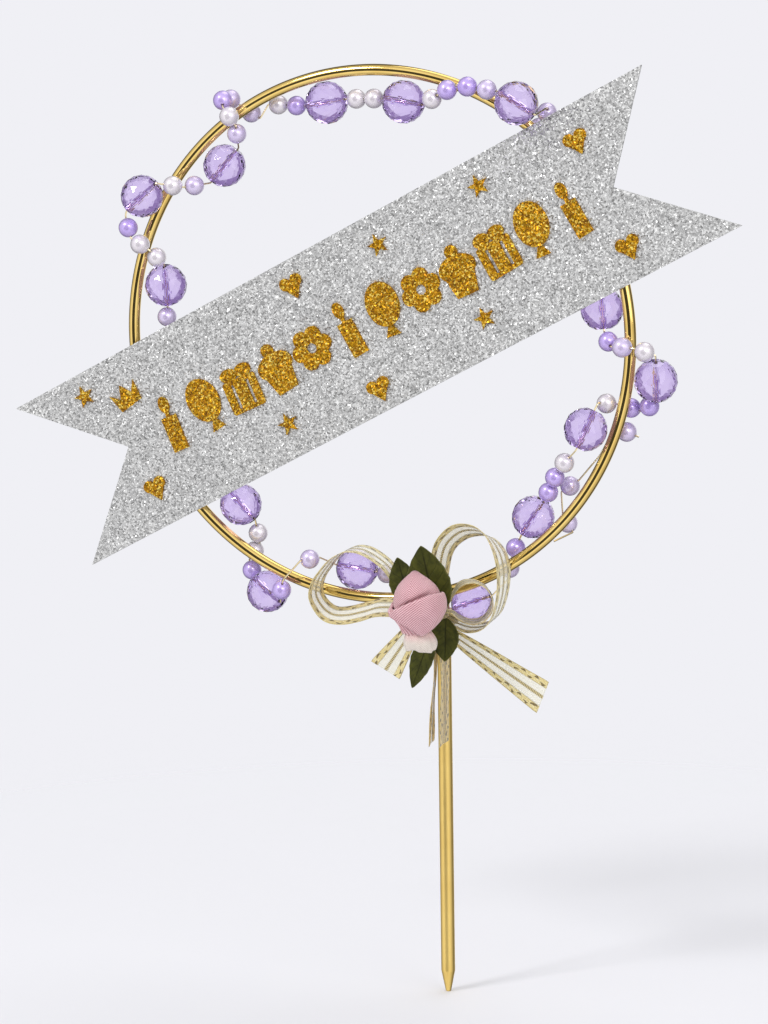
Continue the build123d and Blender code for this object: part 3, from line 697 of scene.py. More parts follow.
def arc(centre: tuple[float, float], radius: float, angle: np.ndarray) -> np.ndarray:
    """Points of a circle at some angles, two coordinates each."""
    return on_grid(centre[0] + radius * np.cos(angle), centre[1] + radius * np.sin(angle))


def rings(radius: np.ndarray, height: np.ndarray, angle: np.ndarray) -> np.ndarray:
    """Points (r_i cos a_j, r_i sin a_j, z_i), in rows round +Z."""
    return stacked(radius[:, None] * np.cos(angle), radius[:, None] * np.sin(angle), height[:, None])


def grid_faces(rows: int, columns: int, round_columns: bool = False, round_rows: bool = False) -> np.ndarray:
    """Quads between neighbouring points of a grid.

    Args:
        rows: the grid's rows of points.
        columns: the points in each row.
        round_columns: whether the last column joins the first.
        round_rows: whether the last row joins the first.

    Returns:
        Four point numbers for each quad.
    """
    row = np.arange(rows if round_rows else rows - 1)[:, None]
    column = np.arange(columns if round_columns else columns - 1)
    here, above = row * columns, (row + 1) % rows * columns
    after = (column + 1) % columns
    return stacked(here + column, here + after, above + after, above + column)


def round_faces(rows: int, columns: int) -> list:
    """Faces of a round grid, closed by fans at both ends onto two points that follow the grid's points.

    Args:
        rows: rings in the grid.
        columns: points in each ring.

    Returns:
        The faces, each a list of point numbers.
    """
    column = np.arange(columns)
    after = (column + 1) % columns
    base = (rows - 1) * columns
    first = stacked(rows * columns, after, column)
    last = stacked(rows * columns + 1, base + column, base + after)
    return grid_faces(rows, columns, True).tolist() + first.tolist() + last.tolist()


def lathe(profile: np.ndarray, segments: int) -> tuple[np.ndarray, list]:
    """A profile of radius and height turned about +Z, closed at both ends on the axis.

    Args:
        profile: radius and height of each row.
        segments: points in each row.

    Returns:
        The points and the faces.
    """
    radius, height = profile.T
    poles = on_grid(0.0, 0.0, height[[0, -1]])
    points = np.concatenate([rings(radius, height, full_turn(segments)), poles])
    return points, round_faces(len(profile), segments)


def along_path(line: np.ndarray) -> np.ndarray:
    """The length walked to each point of a line."""
    return np.concatenate([[0], np.cumsum(np.linalg.norm(np.diff(line, axis=0), axis=1))])


def smooth_path(points: Sequence[Sequence[float]], count: int) -> np.ndarray:
    """A smooth open line through given points, at even steps of length.

    Each span is a Catmull-Rom cubic, and the line is then read again at equal lengths.

    Args:
        points: the points to go through.
        count: the points in the result.

    Returns:
        The line's points, in order.
    """
    knots = np.asarray(points, float)
    ends = np.concatenate([[2 * knots[0] - knots[1]], knots, [2 * knots[-1] - knots[-2]]])
    t = np.linspace(0, 1, SPAN_STEPS, endpoint=False)[:, None, None]
    a, b, c, d = (ends[i : len(ends) - 3 + i][None] for i in range(4))
    spans = 0.5 * (2 * b + (c - a) * t + (2 * a - 5 * b + 4 * c - d) * t**2 + (3 * b - a - 3 * c + d) * t**3)
    line = np.concatenate([np.swapaxes(spans, 0, 1).reshape(-1, knots.shape[1]), knots[-1:]])
    length = along_path(line)
    even = np.linspace(0, length[-1], count)
    return on_grid(*(np.interp(even, length, values) for values in line.T))


def tube(line: np.ndarray, radius: np.ndarray, sides: int) -> tuple[np.ndarray, list]:
    """A round tube along a line in the XZ plane, closed at both ends.

    Point (i, j) is line_i + r_i (cos a_j n_i + sin a_j y), with n_i the line's normal in its plane.

    Args:
        line: the middle line's points.
        radius: the radius at each point.
        sides: points round the tube.

    Returns:
        The points and the faces.
    """
    tangent = unit(np.gradient(line, axis=0))
    normal = on_grid(tangent[:, 2], 0.0, -tangent[:, 0])
    angle, reach = full_turn(sides)[:, None], radius[:, None, None]
    level = np.array([0.0, 1.0, 0.0])
    ring = line[:, None] + reach * np.cos(angle) * normal[:, None] + reach * np.sin(angle) * level
    return np.concatenate([ring.reshape(-1, 3), line[:1], line[-1:]]), round_faces(len(line), sides)


def face_corners(mesh: bpy.types.Mesh) -> np.ndarray:
    """Reads the corners of a mesh's faces.

    Args:
        mesh: the mesh.

    Returns:
        The point number at each corner, in order.
    """
    corners = np.empty(len(mesh.loops), np.int64)
    mesh.loops.foreach_get("vertex_index", corners)
    return corners


def solid_places(node: str) -> list[tuple[np.ndarray, np.ndarray]]:
    """Finds the middle and bore line of each ball in a node that holds several.

    Points that share a triangle belong to one ball. A ball's bore runs along the one direction in
    which its points spread differently from the other two.

    Args:
        node: the CAD node.

    Returns:
        A middle in millimetres and a unit vector for each ball.
    """
    mesh = frame["nodes"][node].data
    coordinates = np.empty(len(mesh.vertices) * 3)
    mesh.vertices.foreach_get("co", coordinates)
    keys = np.round(coordinates.reshape(-1, 3) / METRES, 3)
    points, shared = np.unique(keys, axis=0, return_inverse=True)
    triangles = shared.reshape(-1)[face_corners(mesh)].reshape(-1, 3)
    label = np.arange(len(points))
    changed = True
    while changed:
        low = label[triangles].min(axis=1)
        after = label.copy()
        for corner in range(3):
            np.minimum.at(after, triangles[:, corner], low)
        changed = bool((after != label).any())
        label = after
    places = []
    for ball in np.unique(label):
        own = points[label == ball]
        middle = (own.min(axis=0) + own.max(axis=0)) / 2
        spread, lines = np.linalg.eigh(np.cov((own - own.mean(axis=0)).T))
        odd = 0 if spread[1] - spread[0] > spread[2] - spread[1] else 2
        places.append((middle, lines[:, odd]))
    return places


def turned_to(axis: Sequence[float], spin: float) -> np.ndarray:
    """A rotation that takes +Z to an axis after a spin about +Z in radians."""
    to_axis = Vector((0, 0, 1)).rotation_difference(Vector(axis)).to_matrix()
    return np.array(to_axis @ Matrix.Rotation(spin, 3, "Z"))


def outward(points: np.ndarray, faces: list) -> list:
    """Turns the faces of a closed surface so that they point out, by the sign of its volume.

    Args:
        points: the surface's points.
        faces: its faces, each a list of point numbers.

    Returns:
        The faces, turned round where they pointed in.
    """
    corners = np.array([face[:3] for face in faces])
    rest = np.array([[face[0], face[2], face[3]] for face in faces if len(face) == 4]).reshape(-1, 3)
    triangles = points[np.concatenate([corners, rest])]
    volume = np.einsum("ij,ij->i", triangles[:, 0], np.cross(triangles[:, 1], triangles[:, 2])).sum()
    return faces if volume > 0 else [face[::-1] for face in faces]


def make_piece(
    name: str,
    points: np.ndarray,
    faces: Sequence[Sequence[int]],
    chart: Optional[np.ndarray] = None,
    smooth: bool = True,
    closed: bool = True,
) -> bpy.types.Object:
    """Puts points in millimetres and faces into a new object at the origin.

    Args:
        name: the piece's name.
        points: the points.
        faces: the faces by point number.
        chart: the piece's own map, one pair for each point.
        smooth: whether the faces are shaded smooth.
        closed: whether the surface encloses a volume, so that its faces can be turned out.

    Returns:
        The object.
    """
    faces = [list(face) for face in faces]
    mesh = bpy.data.meshes.new(name)
    mesh.from_pydata((points * METRES).tolist(), [], outward(points, faces) if closed else faces)
    mesh.polygons.foreach_set("use_smooth", np.full(len(mesh.polygons), smooth))
    if chart is not None:
        pairs = chart[face_corners(mesh)].astype(np.float32).ravel()
        mesh.uv_layers.new(name="chart").data.foreach_set("uv", pairs)
    mesh.update()
    piece = bpy.data.objects.new(name, mesh)
    bpy.context.scene.collection.objects.link(piece)
    return piece


def dress(
    piece: bpy.types.Object,
    material: bpy.types.Material,
    slot: str,
    nodes: Sequence[str],
    body: str = MAIN_BODY,
) -> None:
    """Gives a piece its material, the body that it rides on and the nodes that it stands for.

    Args:
        piece: the new object.
        material: its material.
        slot: the record's slot for its finish; not used.
        nodes: the CAD nodes that it replaces.
        body: the CAD body that carries it.
    """
    piece.data.materials.append(material)
    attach(piece, body)
    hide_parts(*nodes)
    LOG.info("%s: %d faces, on %s", piece.name, len(piece.data.polygons), body)


def make_cloth(name: str, surface: np.ndarray, chart: np.ndarray, thickness: float) -> bpy.types.Object:
    """Makes a sheet of cloth, with its thickness half to each side.

    Args:
        name: the piece's name.
        surface: points by row and column.
        chart: the piece's own map, one pair for each point.
        thickness: the cloth's, in millimetres.

    Returns:
        The object.
    """
    rows, columns = surface.shape[:2]
    piece = make_piece(name, surface.reshape(-1, 3), grid_faces(rows, columns), chart, closed=False)
    wall = piece.modifiers.new("cloth", "SOLIDIFY")
    wall.thickness = thickness * METRES
    wall.offset = 0.0
    return piece


def flat_area(area: float, wide: float, tall: float) -> float:
    """A sheet's flat area, from the least share of its flat rectangle up to the whole of it."""
    return min(max(area, LEAST_FLAT_SHARE * wide * tall), wide * tall)


def paint_node(node: str, material: bpy.types.Material) -> None:
    """Gives a CAD node that keeps its shape a finished material.

    Args:
        node: the node's name.
        material: its material.
    """
    slots = frame["nodes"][node].data.materials
    slots.clear()
    slots.append(material)
    LOG.info("%s: kept, %s", node, material.name)


def catch_lit() -> bpy.types.Collection:
    """The group of pieces that the catch light alone falls on, made the first time it is asked for."""
    return bpy.data.collections.get("catch_lit") or bpy.data.collections.new("catch_lit")


# Sub-assemblies


@dataclass
class Carrier:
    """The pick and the hoop that stands on it."""

    shank: float = 102.5
    pick_radius: float = 1.95
    tip_length: float = 6.0
    mouth_length: float = 4.0
    mouth_step: float = 0.25
    socket_radius: float = 1.65
    socket_shown: float = 3.0
    mouth_ease: float = 0.1
    # The point's radii and rises, then insets and rises that ease the shoulder, the flare and the lip
    tip_steps: tuple[tuple[float, float], ...] = ((0.45, 0.0), (0.68, 0.12), (0.80, 0.40))
    shoulder_steps: tuple[tuple[float, float], ...] = ((0.06, -0.18), (0.015, 0.05), (0.0, 0.3))
    flare_steps: tuple[tuple[float, float], ...] = ((0.05, 0.0), (0.0, 0.15))
    lip_steps: tuple[tuple[float, float], ...] = ((0.0, -0.25), (0.08, -0.06), (0.20, 0.0))
    hoop_radius: float = 73.4025
    wire_radius: float = 1.5975
    hoop_shift: float = 19.0
    hoop_height: float = 179.4
    bend_radius: float = 5.0
    tail_length: float = 20.0
    end_gap: float = 0.6
    end_share: float = 0.86
    pick_sides: int = 72
    wire_sides: int = 40
    tail_steps: int = 12
    bend_steps: int = 16
    ring_steps: int = 300

    def build(self) -> None:
        """Makes the pick and the hoop and dresses them."""
        pick = make_piece("gold_pick", *lathe(self.pick_profile(), self.pick_sides))
        dress(pick, SATIN_GOLD.material(), "satin_gold", ["pick"])
        line = self.hoop_line()
        radii = np.full(len(line), self.wire_radius)
        radii[-1] *= self.end_share
        hoop = make_piece("gold_hoop", *tube(line, radii, self.wire_sides))
        dress(hoop, POLISHED_GOLD.material(), "polished_gold", ["hoop"])

    def pick_profile(self) -> np.ndarray:
        """The pick's outline from the blunt point up the shank, over the mouth and into the socket.

        Returns:
            The radius and height of each point.
        """
        mouth = self.pick_radius + self.mouth_step
        mouth_foot = self.shank - self.mouth_length
        flare = mouth_foot + self.mouth_step
        return np.array(
            [
                *((radius, -self.tip_length + up) for radius, up in self.tip_steps),
                *((self.pick_radius - inset, up) for inset, up in self.shoulder_steps),
                (self.pick_radius, mouth_foot * 0.5),
                (self.pick_radius, mouth_foot - self.mouth_ease),
                *((mouth - inset, flare + up) for inset, up in self.flare_steps),
                *((mouth - inset, self.shank + up) for inset, up in self.lip_steps),
                (self.socket_radius, self.shank),
                (self.socket_radius, self.shank - self.socket_shown),
            ]
        )

    def hoop_line(self) -> np.ndarray:
        """The wire's middle line: up the tail, round a small bend, and once round the ring.

        Returns:
            Its points, in order.
        """
        aside = self.bend_radius + self.hoop_shift
        drop = math.sqrt((self.hoop_radius + self.bend_radius) ** 2 - aside**2)
        bend_height = self.hoop_height - drop
        bend_angle = math.atan2(drop, aside)
        end_angle = math.acos((self.hoop_shift - self.wire_radius - self.end_gap) / self.hoop_radius)
        heights = np.linspace(self.shank - self.tail_length, bend_height, self.tail_steps)[:-1]
        turns = np.linspace(math.pi, math.pi - bend_angle, self.bend_steps)[:-1]
        round_ring = np.linspace(-bend_angle, math.tau - end_angle, self.ring_steps)
        tail = on_grid(0.0, heights)
        bend = arc((self.bend_radius, bend_height), self.bend_radius, turns)
        ring = arc((-self.hoop_shift, self.hoop_height), self.hoop_radius, round_ring)
        x, z = np.concatenate([tail, bend, ring]).T
        return on_grid(x, 0.0, z)


@dataclass
class BeadString:
    """Faceted beads and pearls on the gold wire wound round the hoop."""

    bead_radius: float = 6.0
    bead_half_length: float = 5.6
    bead_bore: float = 0.6
    facets: int = 14
    latitudes: tuple[float, ...] = (-68.0, -51.0, -34.0, -17.0, 0.0, 17.0, 34.0, 51.0, 68.0)
    pearl_radius: float = 2.75
    pearl_bore: float = 0.42
    pearl_columns: int = 24
    pearl_rows: int = 15
    spin_step: float = 0.7
    bore_share: float = 0.8
    bore_reach: float = 0.9

    def build(self) -> None:
        """Makes every bead and pearl in its place and gives the wires their finish."""
        acrylic = LILAC_ACRYLIC.material()
        points, faces = self.bead()
        for joint in frame["joints"]:
            number = joint["child"].split("_")[-1]
            turn = turned_to(joint["axis"], self.spin_step * int(number))
            placed = points @ turn.T + np.array(joint["pos_m"]) / METRES
            piece = make_piece(f"lilac_bead_{number}", placed, faces, smooth=False)
            dress(piece, acrylic, "lilac_acrylic", [f"faceted_bead_{number}"], joint["child"])
        for node, finish in PEARLS.items():
            self.pearls(node, finish)
        wire = DRAWN_GOLD.material()
        for node in ("beading_wire", "short_wire"):
            paint_node(node, wire)

    def bead(self) -> tuple[np.ndarray, list]:
        """One faceted bead along +Z with its bore.

        Row i has points at (R cos l_i cos a, R cos l_i sin a, R sin l_i) with l_i its latitude, and every
        second row is turned by half a facet, so that the triangles between rows make slanted flats.

        Returns:
            The points and the faces.
        """
        latitude = np.radians(self.latitudes)
        half, bore = self.bead_half_length, self.bead_bore
        radius = np.concatenate([[bore], self.bead_radius * np.cos(latitude), [bore]])
        height = np.concatenate([[-half], self.bead_radius * np.sin(latitude), [half]])
        rows, step = len(radius), math.tau / self.facets
        angle = np.arange(self.facets) * step + (np.arange(rows) % 2)[:, None] * step / 2
        row, column = np.arange(rows - 1)[:, None], np.arange(self.facets)
        here, above = row * self.facets, (row + 1) * self.facets
        after = (column + 1) % self.facets
        odd = row % 2 == 1
        over = above + np.where(odd, after, column)
        beyond = above + np.where(odd, (after + 1) % self.facets, after)
        upright = stacked(here + column, here + after, over)
        hanging = stacked(here + after, beyond, over)
        last = (rows - 1) * self.facets
        wall = stacked(column + last, after + last, after, column)
        return rings(radius, height, angle), upright.tolist() + hanging.tolist() + wall.tolist()

    def pearls(self, node: str, finish: PearlFinish) -> None:
        """Makes one colour of pearls, each a ball with a bore in place of a CAD solid.

        Args:
            node: the CAD node that holds the balls.
            finish: their colour.
        """
        rim = math.asin(self.pearl_bore / self.pearl_radius)
        angle = np.linspace(rim, math.pi - rim, self.pearl_rows)
        inside, deep = self.pearl_bore * self.bore_share, self.pearl_radius * self.bore_reach
        radius = np.concatenate([self.pearl_radius * np.sin(angle), [inside, inside]])
        height = np.concatenate([-self.pearl_radius * np.cos(angle), [deep, -deep]])
        ball = rings(radius, height, full_turn(self.pearl_columns))
        quads = grid_faces(len(radius), self.pearl_columns, True, True)
        places = solid_places(node)
        points = np.concatenate([ball @ turned_to(axis, 0.0).T + middle for middle, axis in places])
        faces = np.concatenate([quads + index * len(ball) for index in range(len(places))])
        piece = make_piece(node.replace("pearls", "pearl_set"), points, faces)
        dress(piece, finish.material(), finish.name, [node])
        catch_lit().objects.link(piece)


@dataclass
class Banner:
    """The forked glitter card, its raised gold pieces and the glue behind it."""

    card: str = "banner_card"
    glue: str = "glue_pads"

    def build(self) -> None:
        """Gives the card, the raised pieces and the glue their finishes."""
        paint_node(self.card, SILVER_GLITTER.material())
        paint_node(self.glue, CLEAR_GLUE.material())
        gold = GOLD_GLITTER.material()
        for node in sorted(frame["nodes"]):
            if node.startswith("gold_"):
                paint_node(node, gold)


class Hang(Enum):
    """How a length of ribbon is held, in the frame's own words."""

    GATHERED = "gathered"
    HUNG = "hung"


@dataclass(frozen=True)
class Strip:
    """One length of the bow's ribbon: the piece's name and the CAD node that it replaces."""

    name: str
    node: str


@dataclass(frozen=True)
class Loop(Strip):
    """A loop of ribbon on edge, from the knot round and back.

    Attributes:
        points: right and up from the knot's middle, with degrees of bank, which shows the ribbon's face.
        turn: degrees by which the whole loop is turned about the upright.
    """

    points: tuple[tuple[float, float, float], ...]
    turn: float = 0.0


@dataclass(frozen=True)
class SpreadTail(Strip):
    """A flat ribbon end that opens out from the knot towards its cut edge.

    Attributes:
        root: where it leaves the knot, right and up from the knot's middle.
        end: the middle of its cut edge.
        depth: its place from front to back.
        pinch: its width at the root, as a share of the ribbon's.
        open_at: the share of its length at which it is fully open.
        slant: degrees by which the cut edge is out of square.
    """

    root: tuple[float, float]
    end: tuple[float, float]
    depth: float
    pinch: float
    open_at: float
    slant: float


@dataclass(frozen=True)
class HangingTail(Strip):
    """A ribbon end that hangs on edge below the knot.

    Attributes:
        points: its line, right and up from the knot's middle.
        turns: degrees from straight front to back, at the knot and at the cut end.
    """

    points: tuple[tuple[float, float], ...]
    turns: tuple[float, float]


LOOPS = (
    Loop(
        "left_ribbon_loop",
        "left_loop",
        (
            (-3.3, -1.0, -8.0), (-9.0, 0.4, -16.0), (-15.8, 0.7, -22.0), (-21.1, -0.8, -24.0),
            (-26.0, -2.0, -22.0), (-30.2, -2.0, -16.0), (-33.2, -0.1, -8.0), (-35.2, 3.4, -3.0),
            (-34.5, 7.4, -2.0), (-32.0, 11.1, -1.0), (-29.0, 14.4, 0.0), (-25.1, 16.6, 2.0),
            (-21.4, 16.8, 3.0), (-17.7, 15.4, 2.0), (-13.5, 12.4, 0.0), (-10.0, 8.0, 0.0),
            (-6.2, 3.8, 0.0), (-3.3, 1.8, 0.0),
        ),
    ),
    Loop(
        "right_ribbon_loop",
        "right_loop",
        (
            (2.1, 4.3, -8.0), (1.7, 9.5, -12.0), (2.2, 15.4, -16.0), (3.9, 19.6, -24.0),
            (7.6, 22.8, -30.0), (11.4, 23.5, -27.0), (14.4, 22.8, -20.0), (17.0, 20.9, -9.0),
            (19.2, 17.3, 0.0), (20.2, 12.9, 3.0), (20.1, 8.0, 2.0), (19.2, 3.4, 0.0),
            (17.8, -0.1, -2.0), (15.1, -2.8, -6.0), (10.9, -3.6, -8.0), (7.3, -2.8, -6.0),
            (3.4, -1.2, -4.0),
        ),
    ),
    Loop(
        "small_ribbon_loop",
        "small_loop",
        (
            (3.4, 0.6, 0.0), (5.6, 0.1, 2.0), (7.6, -1.2, 2.0), (10.9, -2.1, 0.0), (14.3, -1.0, 0.0),
            (16.5, 2.0, 2.0), (16.6, 5.4, 2.0), (14.6, 8.2, 3.0), (11.1, 9.3, 3.0), (7.5, 8.2, 0.0),
            (5.2, 5.2, 0.0), (3.4, 1.9, 0.0),
        ),
        turn=20.7,
    ),
)
SPREAD_TAILS = (
    SpreadTail("right_ribbon_tail", "right_tail", (1.6, -6.2), (29.4, -23.3), -1.85, 0.34, 0.96, -9.0),
    SpreadTail("left_ribbon_tail", "left_tail", (-5.0, -2.8), (-14.8, -17.0), -7.4, 0.35, 0.95, -6.0),
)
HANGING_TAILS = (
    HangingTail(
        "front_ribbon_tail",
        "hanging_tail",
        ((2.6, -4.8), (2.8, -13.6), (2.7, -25.0), (2.2, -36.9)),
        (0.0, 7.0),
    ),
    HangingTail(
        "edge_ribbon_tail",
        "turned_tail",
        ((0.4, -4.8), (0.2, -13.8), (-0.7, -25.2), (-1.4, -36.9)),
        (11.5, 13.5),
    ),
)


@dataclass
class Bow:
    """The ribbon bow in front of the pick: loops, tails, gathered knot and gold tie."""

    width: float = 10.0
    thickness: float = 0.16
    back: float = -2.55
    height: float = 104.0
    columns: int = 28
    loop_rows: int = 150
    loop_pinch: float = 0.62
    gather_length: float = 9.0
    ripple: float = 0.16
    ripple_fade: float = 6.0
    ripple_across: float = 1.9
    ripple_along: float = 0.5
    loop_power: float = 0.7
    tail_rows: int = 70
    tail_open: float = 0.95
    tail_power: float = 0.9
    tail_taper: float = 0.04
    tail_wave: float = 0.22
    tail_wave_rate: float = 5.2
    tail_wave_lean: float = 0.3
    tail_cup: float = 0.16
    gather_depth: float = 0.55
    gather_fade: float = 4.5
    gather_top: float = 0.3
    hanging_rows: int = 60
    hanging_set_back: float = 0.25
    hanging_pinch: float = 0.70
    hanging_open: float = 0.24
    hanging_gather: float = 8.0
    hanging_wave: float = 0.12
    wave_across: float = 7.0
    wave_along: float = 0.35
    sway: float = 0.05
    sway_length: float = 7.0
    knot_half: tuple[float, float, float] = (3.45, 4.95, 4.45)
    knot_power: float = 0.55
    knot_round: float = 4.2
    pleats: float = 9.0
    pleat_depth: float = 0.055
    pleat_wander: float = 0.8
    knot_spread: float = 0.4
    waist_depth: float = 0.048
    knot_rows: int = 41
    knot_columns: int = 64
    tie_corner: float = 1.75
    tie_wall: float = 0.13
    tie_inset: float = 0.15
    tie_rows: int = 10
    tie_columns: int = 120

    def __post_init__(self) -> None:
        """Makes the two finishes of the ribbon and finds the bow's middle plane."""
        self.material = CREAM_RIBBON.material()
        self.thin_material = THIN_RIBBON.material()
        self.middle = self.back - self.width / 2

    def build(self) -> None:
        """Makes the loops, the tails, the knot and the tie."""
        for loop in LOOPS:
            self.loop(loop)
        for spread in SPREAD_TAILS:
            self.spread_tail(spread)
        for hanging in HANGING_TAILS:
            self.hanging_tail(hanging)
        self.knot()
        self.tie()

    def ribbon(
        self,
        strip: Strip,
        surface: np.ndarray,
        lengths: np.ndarray,
        held: Hang,
        area: Optional[float] = None,
        material: Optional[bpy.types.Material] = None,
    ) -> None:
        """Puts one length of ribbon into the scene.

        Args:
            strip: its names.
            surface: points by row along the ribbon and column across it.
            lengths: length walked at each row.
            held: how it is held; not used.
            area: its flat area in square millimetres where gathers take some up.
            material: its finish, where it isn't the bow's own.
        """
        chart = stacked(np.linspace(0, 1, self.columns), (lengths / self.width)[:, None])
        piece = make_cloth(strip.name, surface, chart, self.thickness)
        dress(piece, material or self.material, "cream_ribbon", [strip.node])
        None if area is None else area * METRES**2

    def loop(self, loop: Loop) -> None:
        """Makes a loop.

        Point (i, t) is c_i + (t - 1/2) w (cos b_i d + sin b_i n_i), with c the loop's line in the bow's
        plane, n its normal there, w the width, d level and turned from +Y, and b the bank.

        Args:
            loop: the loop's own values.
        """
        line = smooth_path(loop.points, self.loop_rows)
        flat, bank, turn = line[:, :2], np.radians(line[:, 2:]), math.radians(loop.turn)
        tangent = unit(np.gradient(flat, axis=0))
        normal = on_grid(-tangent[:, 1], 0.0, tangent[:, 0])
        level = np.array([-math.sin(turn), math.cos(turn), 0.0])
        side = np.cos(bank) * level + np.sin(bank) * normal
        centre = on_grid(flat[:, 0], self.middle, flat[:, 1] + self.height)
        across = np.linspace(-0.5, 0.5, self.columns) * self.width
        lengths = along_path(flat)
        ends = np.minimum(lengths, lengths[-1] - lengths)[:, None]
        opening = np.clip(ends / self.gather_length, 0, 1) ** self.loop_power
        pinch = self.loop_pinch + (1 - self.loop_pinch) * opening
        waves = np.sin(across * self.ripple_across + lengths[:, None] * self.ripple_along)
        ripple = self.ripple * waves * np.exp(-ends / self.ripple_fade)
        surface = centre[:, None] + side[:, None] * (across * pinch)[..., None]
        surface = surface + normal[:, None] * ripple[..., None]
        self.ribbon(loop, surface, lengths, Hang.GATHERED)

    def spread_tail(self, tail: SpreadTail) -> None:
        """Makes a flat tail with gathers at its root.

        Point (s, t) is root + s (end - root) + (t - 1/2) w(s) a + wave, with a across the tail in the bow's
        plane, and w the width, which opens smoothly from the pinch to nearly the full ribbon.

        Args:
            tail: the tail's own values.
        """
        root, whole = np.array(tail.root), np.subtract(tail.end, tail.root)
        length = float(np.linalg.norm(whole))
        ahead = whole / length
        s = np.linspace(0, 1, self.tail_rows)[:, None]
        t = np.linspace(-0.5, 0.5, self.columns)
        opening = np.clip(s / tail.open_at, 0, 1) ** self.tail_power
        share = tail.pinch + (self.tail_open - tail.pinch) * opening
        run = s * length + s**6 * t * self.width * math.tan(math.radians(tail.slant))
        offset = t * self.width * share * (1 - self.tail_taper * (1 - s))
        x = root[0] + ahead[0] * run - ahead[1] * offset
        z = root[1] + ahead[1] * run + ahead[0] * offset + self.height
        gathers = self.gather_depth * np.cos(t * 4.0 * math.pi) * np.exp(-s * length / self.gather_fade)
        wave = self.tail_wave * np.sin(s * self.tail_wave_rate) * (self.tail_wave_lean + t)
        curl = wave - self.tail_cup * (2 * t) ** 2 * s
        y = tail.depth + np.minimum(gathers, self.gather_top) * 0.5 + curl
        area = flat_area(float(share.mean()) * self.width * length, self.width, length)
        self.ribbon(tail, on_grid(x, y, z), s[:, 0] * length, Hang.GATHERED, area)

    def hanging_tail(self, tail: HangingTail) -> None:
        """Makes a tail on edge.

        Point (i, t) is c_i + (t - 1/2) w d_i, with c the tail's line and d level and turned from +Y.

        Args:
            tail: the tail's own values.
        """
        line = smooth_path(tail.points, self.hanging_rows)
        lengths = along_path(line)
        turned = np.radians(np.interp(lengths, [0, lengths[-1]], tail.turns))
        angle = turned + self.sway * np.sin(lengths / self.sway_length)
        level = on_grid(-np.sin(angle), np.cos(angle), 0.0)
        centre = on_grid(line[:, 0], self.middle - self.hanging_set_back, line[:, 1] + self.height)
        across = np.linspace(-0.5, 0.5, self.columns)
        opening = np.clip(lengths / self.hanging_gather, 0, 1)[:, None]
        pinch = self.hanging_pinch + self.hanging_open * opening
        surface = centre[:, None] + level[:, None] * (across * pinch * self.width)[..., None]
        waves = np.sin(across * self.wave_across + lengths[:, None] * self.wave_along)
        surface[..., 0] += self.hanging_wave * waves
        self.ribbon(tail, surface, lengths, Hang.HUNG, material=self.thin_material)

    def knot(self) -> None:
        """The gathered middle of the bow, a pinched pad with pleats that run round it.

        Point (a, b) is (X c(b) c(a), Y c(b) s(a), Z s(b)) on rounded powers of cosine and sine, drawn in by
        a tenth and less where the pleats sink.
        """

        def rounded(value: np.ndarray) -> np.ndarray:
            """A signed power that squares up a cosine or a sine."""
            return np.sign(value) * np.abs(value) ** self.knot_power

        a = full_turn(self.knot_columns)
        b = np.linspace(-math.pi / 2, math.pi / 2, self.knot_rows + 2)[1:-1, None]
        pleats = 0.5 + 0.5 * np.sin(b * self.pleats + self.pleat_wander * np.sin(2 * a))
        drawn_in = 1.0 - self.pleat_depth * pleats - self.waist_depth * np.cos(b * 2.0).clip(0)
        half_x, half_y, half_z = self.knot_half
        x = half_x * rounded(np.cos(b)) * rounded(np.cos(a)) * drawn_in
        y = half_y * rounded(np.cos(b)) * rounded(np.sin(a)) * drawn_in + self.middle
        z = half_z * rounded(np.sin(b)) + self.height
        ends = [[0, self.middle, self.height - half_z], [0, self.middle, self.height + half_z]]
        along = a * self.knot_round / self.width
        across = 0.5 + self.knot_spread * np.sin(b * 2.0)
        chart = stacked(across, along, ends=[[0.5, 0], [0.5, 0]])
        faces = round_faces(self.knot_rows, self.knot_columns)
        piece = make_piece("ribbon_knot", stacked(x, y, z, ends=ends), faces, chart)
        dress(piece, self.material, "cream_ribbon", ["bow_knot"])

    def tie(self) -> None:
        """The gold cord band round the knot and the pick, a round section carried round a soft rectangle."""
        low, high = (np.array(corner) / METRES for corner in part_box("knot_tie"))
        middle, half = (low + high) / 2, (high - low) / 2
        a, c = full_turn(self.tie_columns), full_turn(self.tie_rows)[:, None]
        direction = on_grid(np.cos(a), np.sin(a))
        flats = np.sign(direction) * (half[:2] - self.tie_corner) * np.clip(np.abs(direction) * 6, 0, 1)
        inset = self.tie_inset - self.tie_wall * np.cos(c)
        ring = flats + direction * self.tie_corner - direction * inset[..., None] + middle[:2]
        points = stacked(ring[..., 0], ring[..., 1], half[2] * np.sin(c) + middle[2])
        piece = make_piece("gold_tie", points, grid_faces(self.tie_rows, self.tie_columns, True, True))
        dress(piece, GOLD_CORD.material(), "tie_thread", ["knot_tie"])


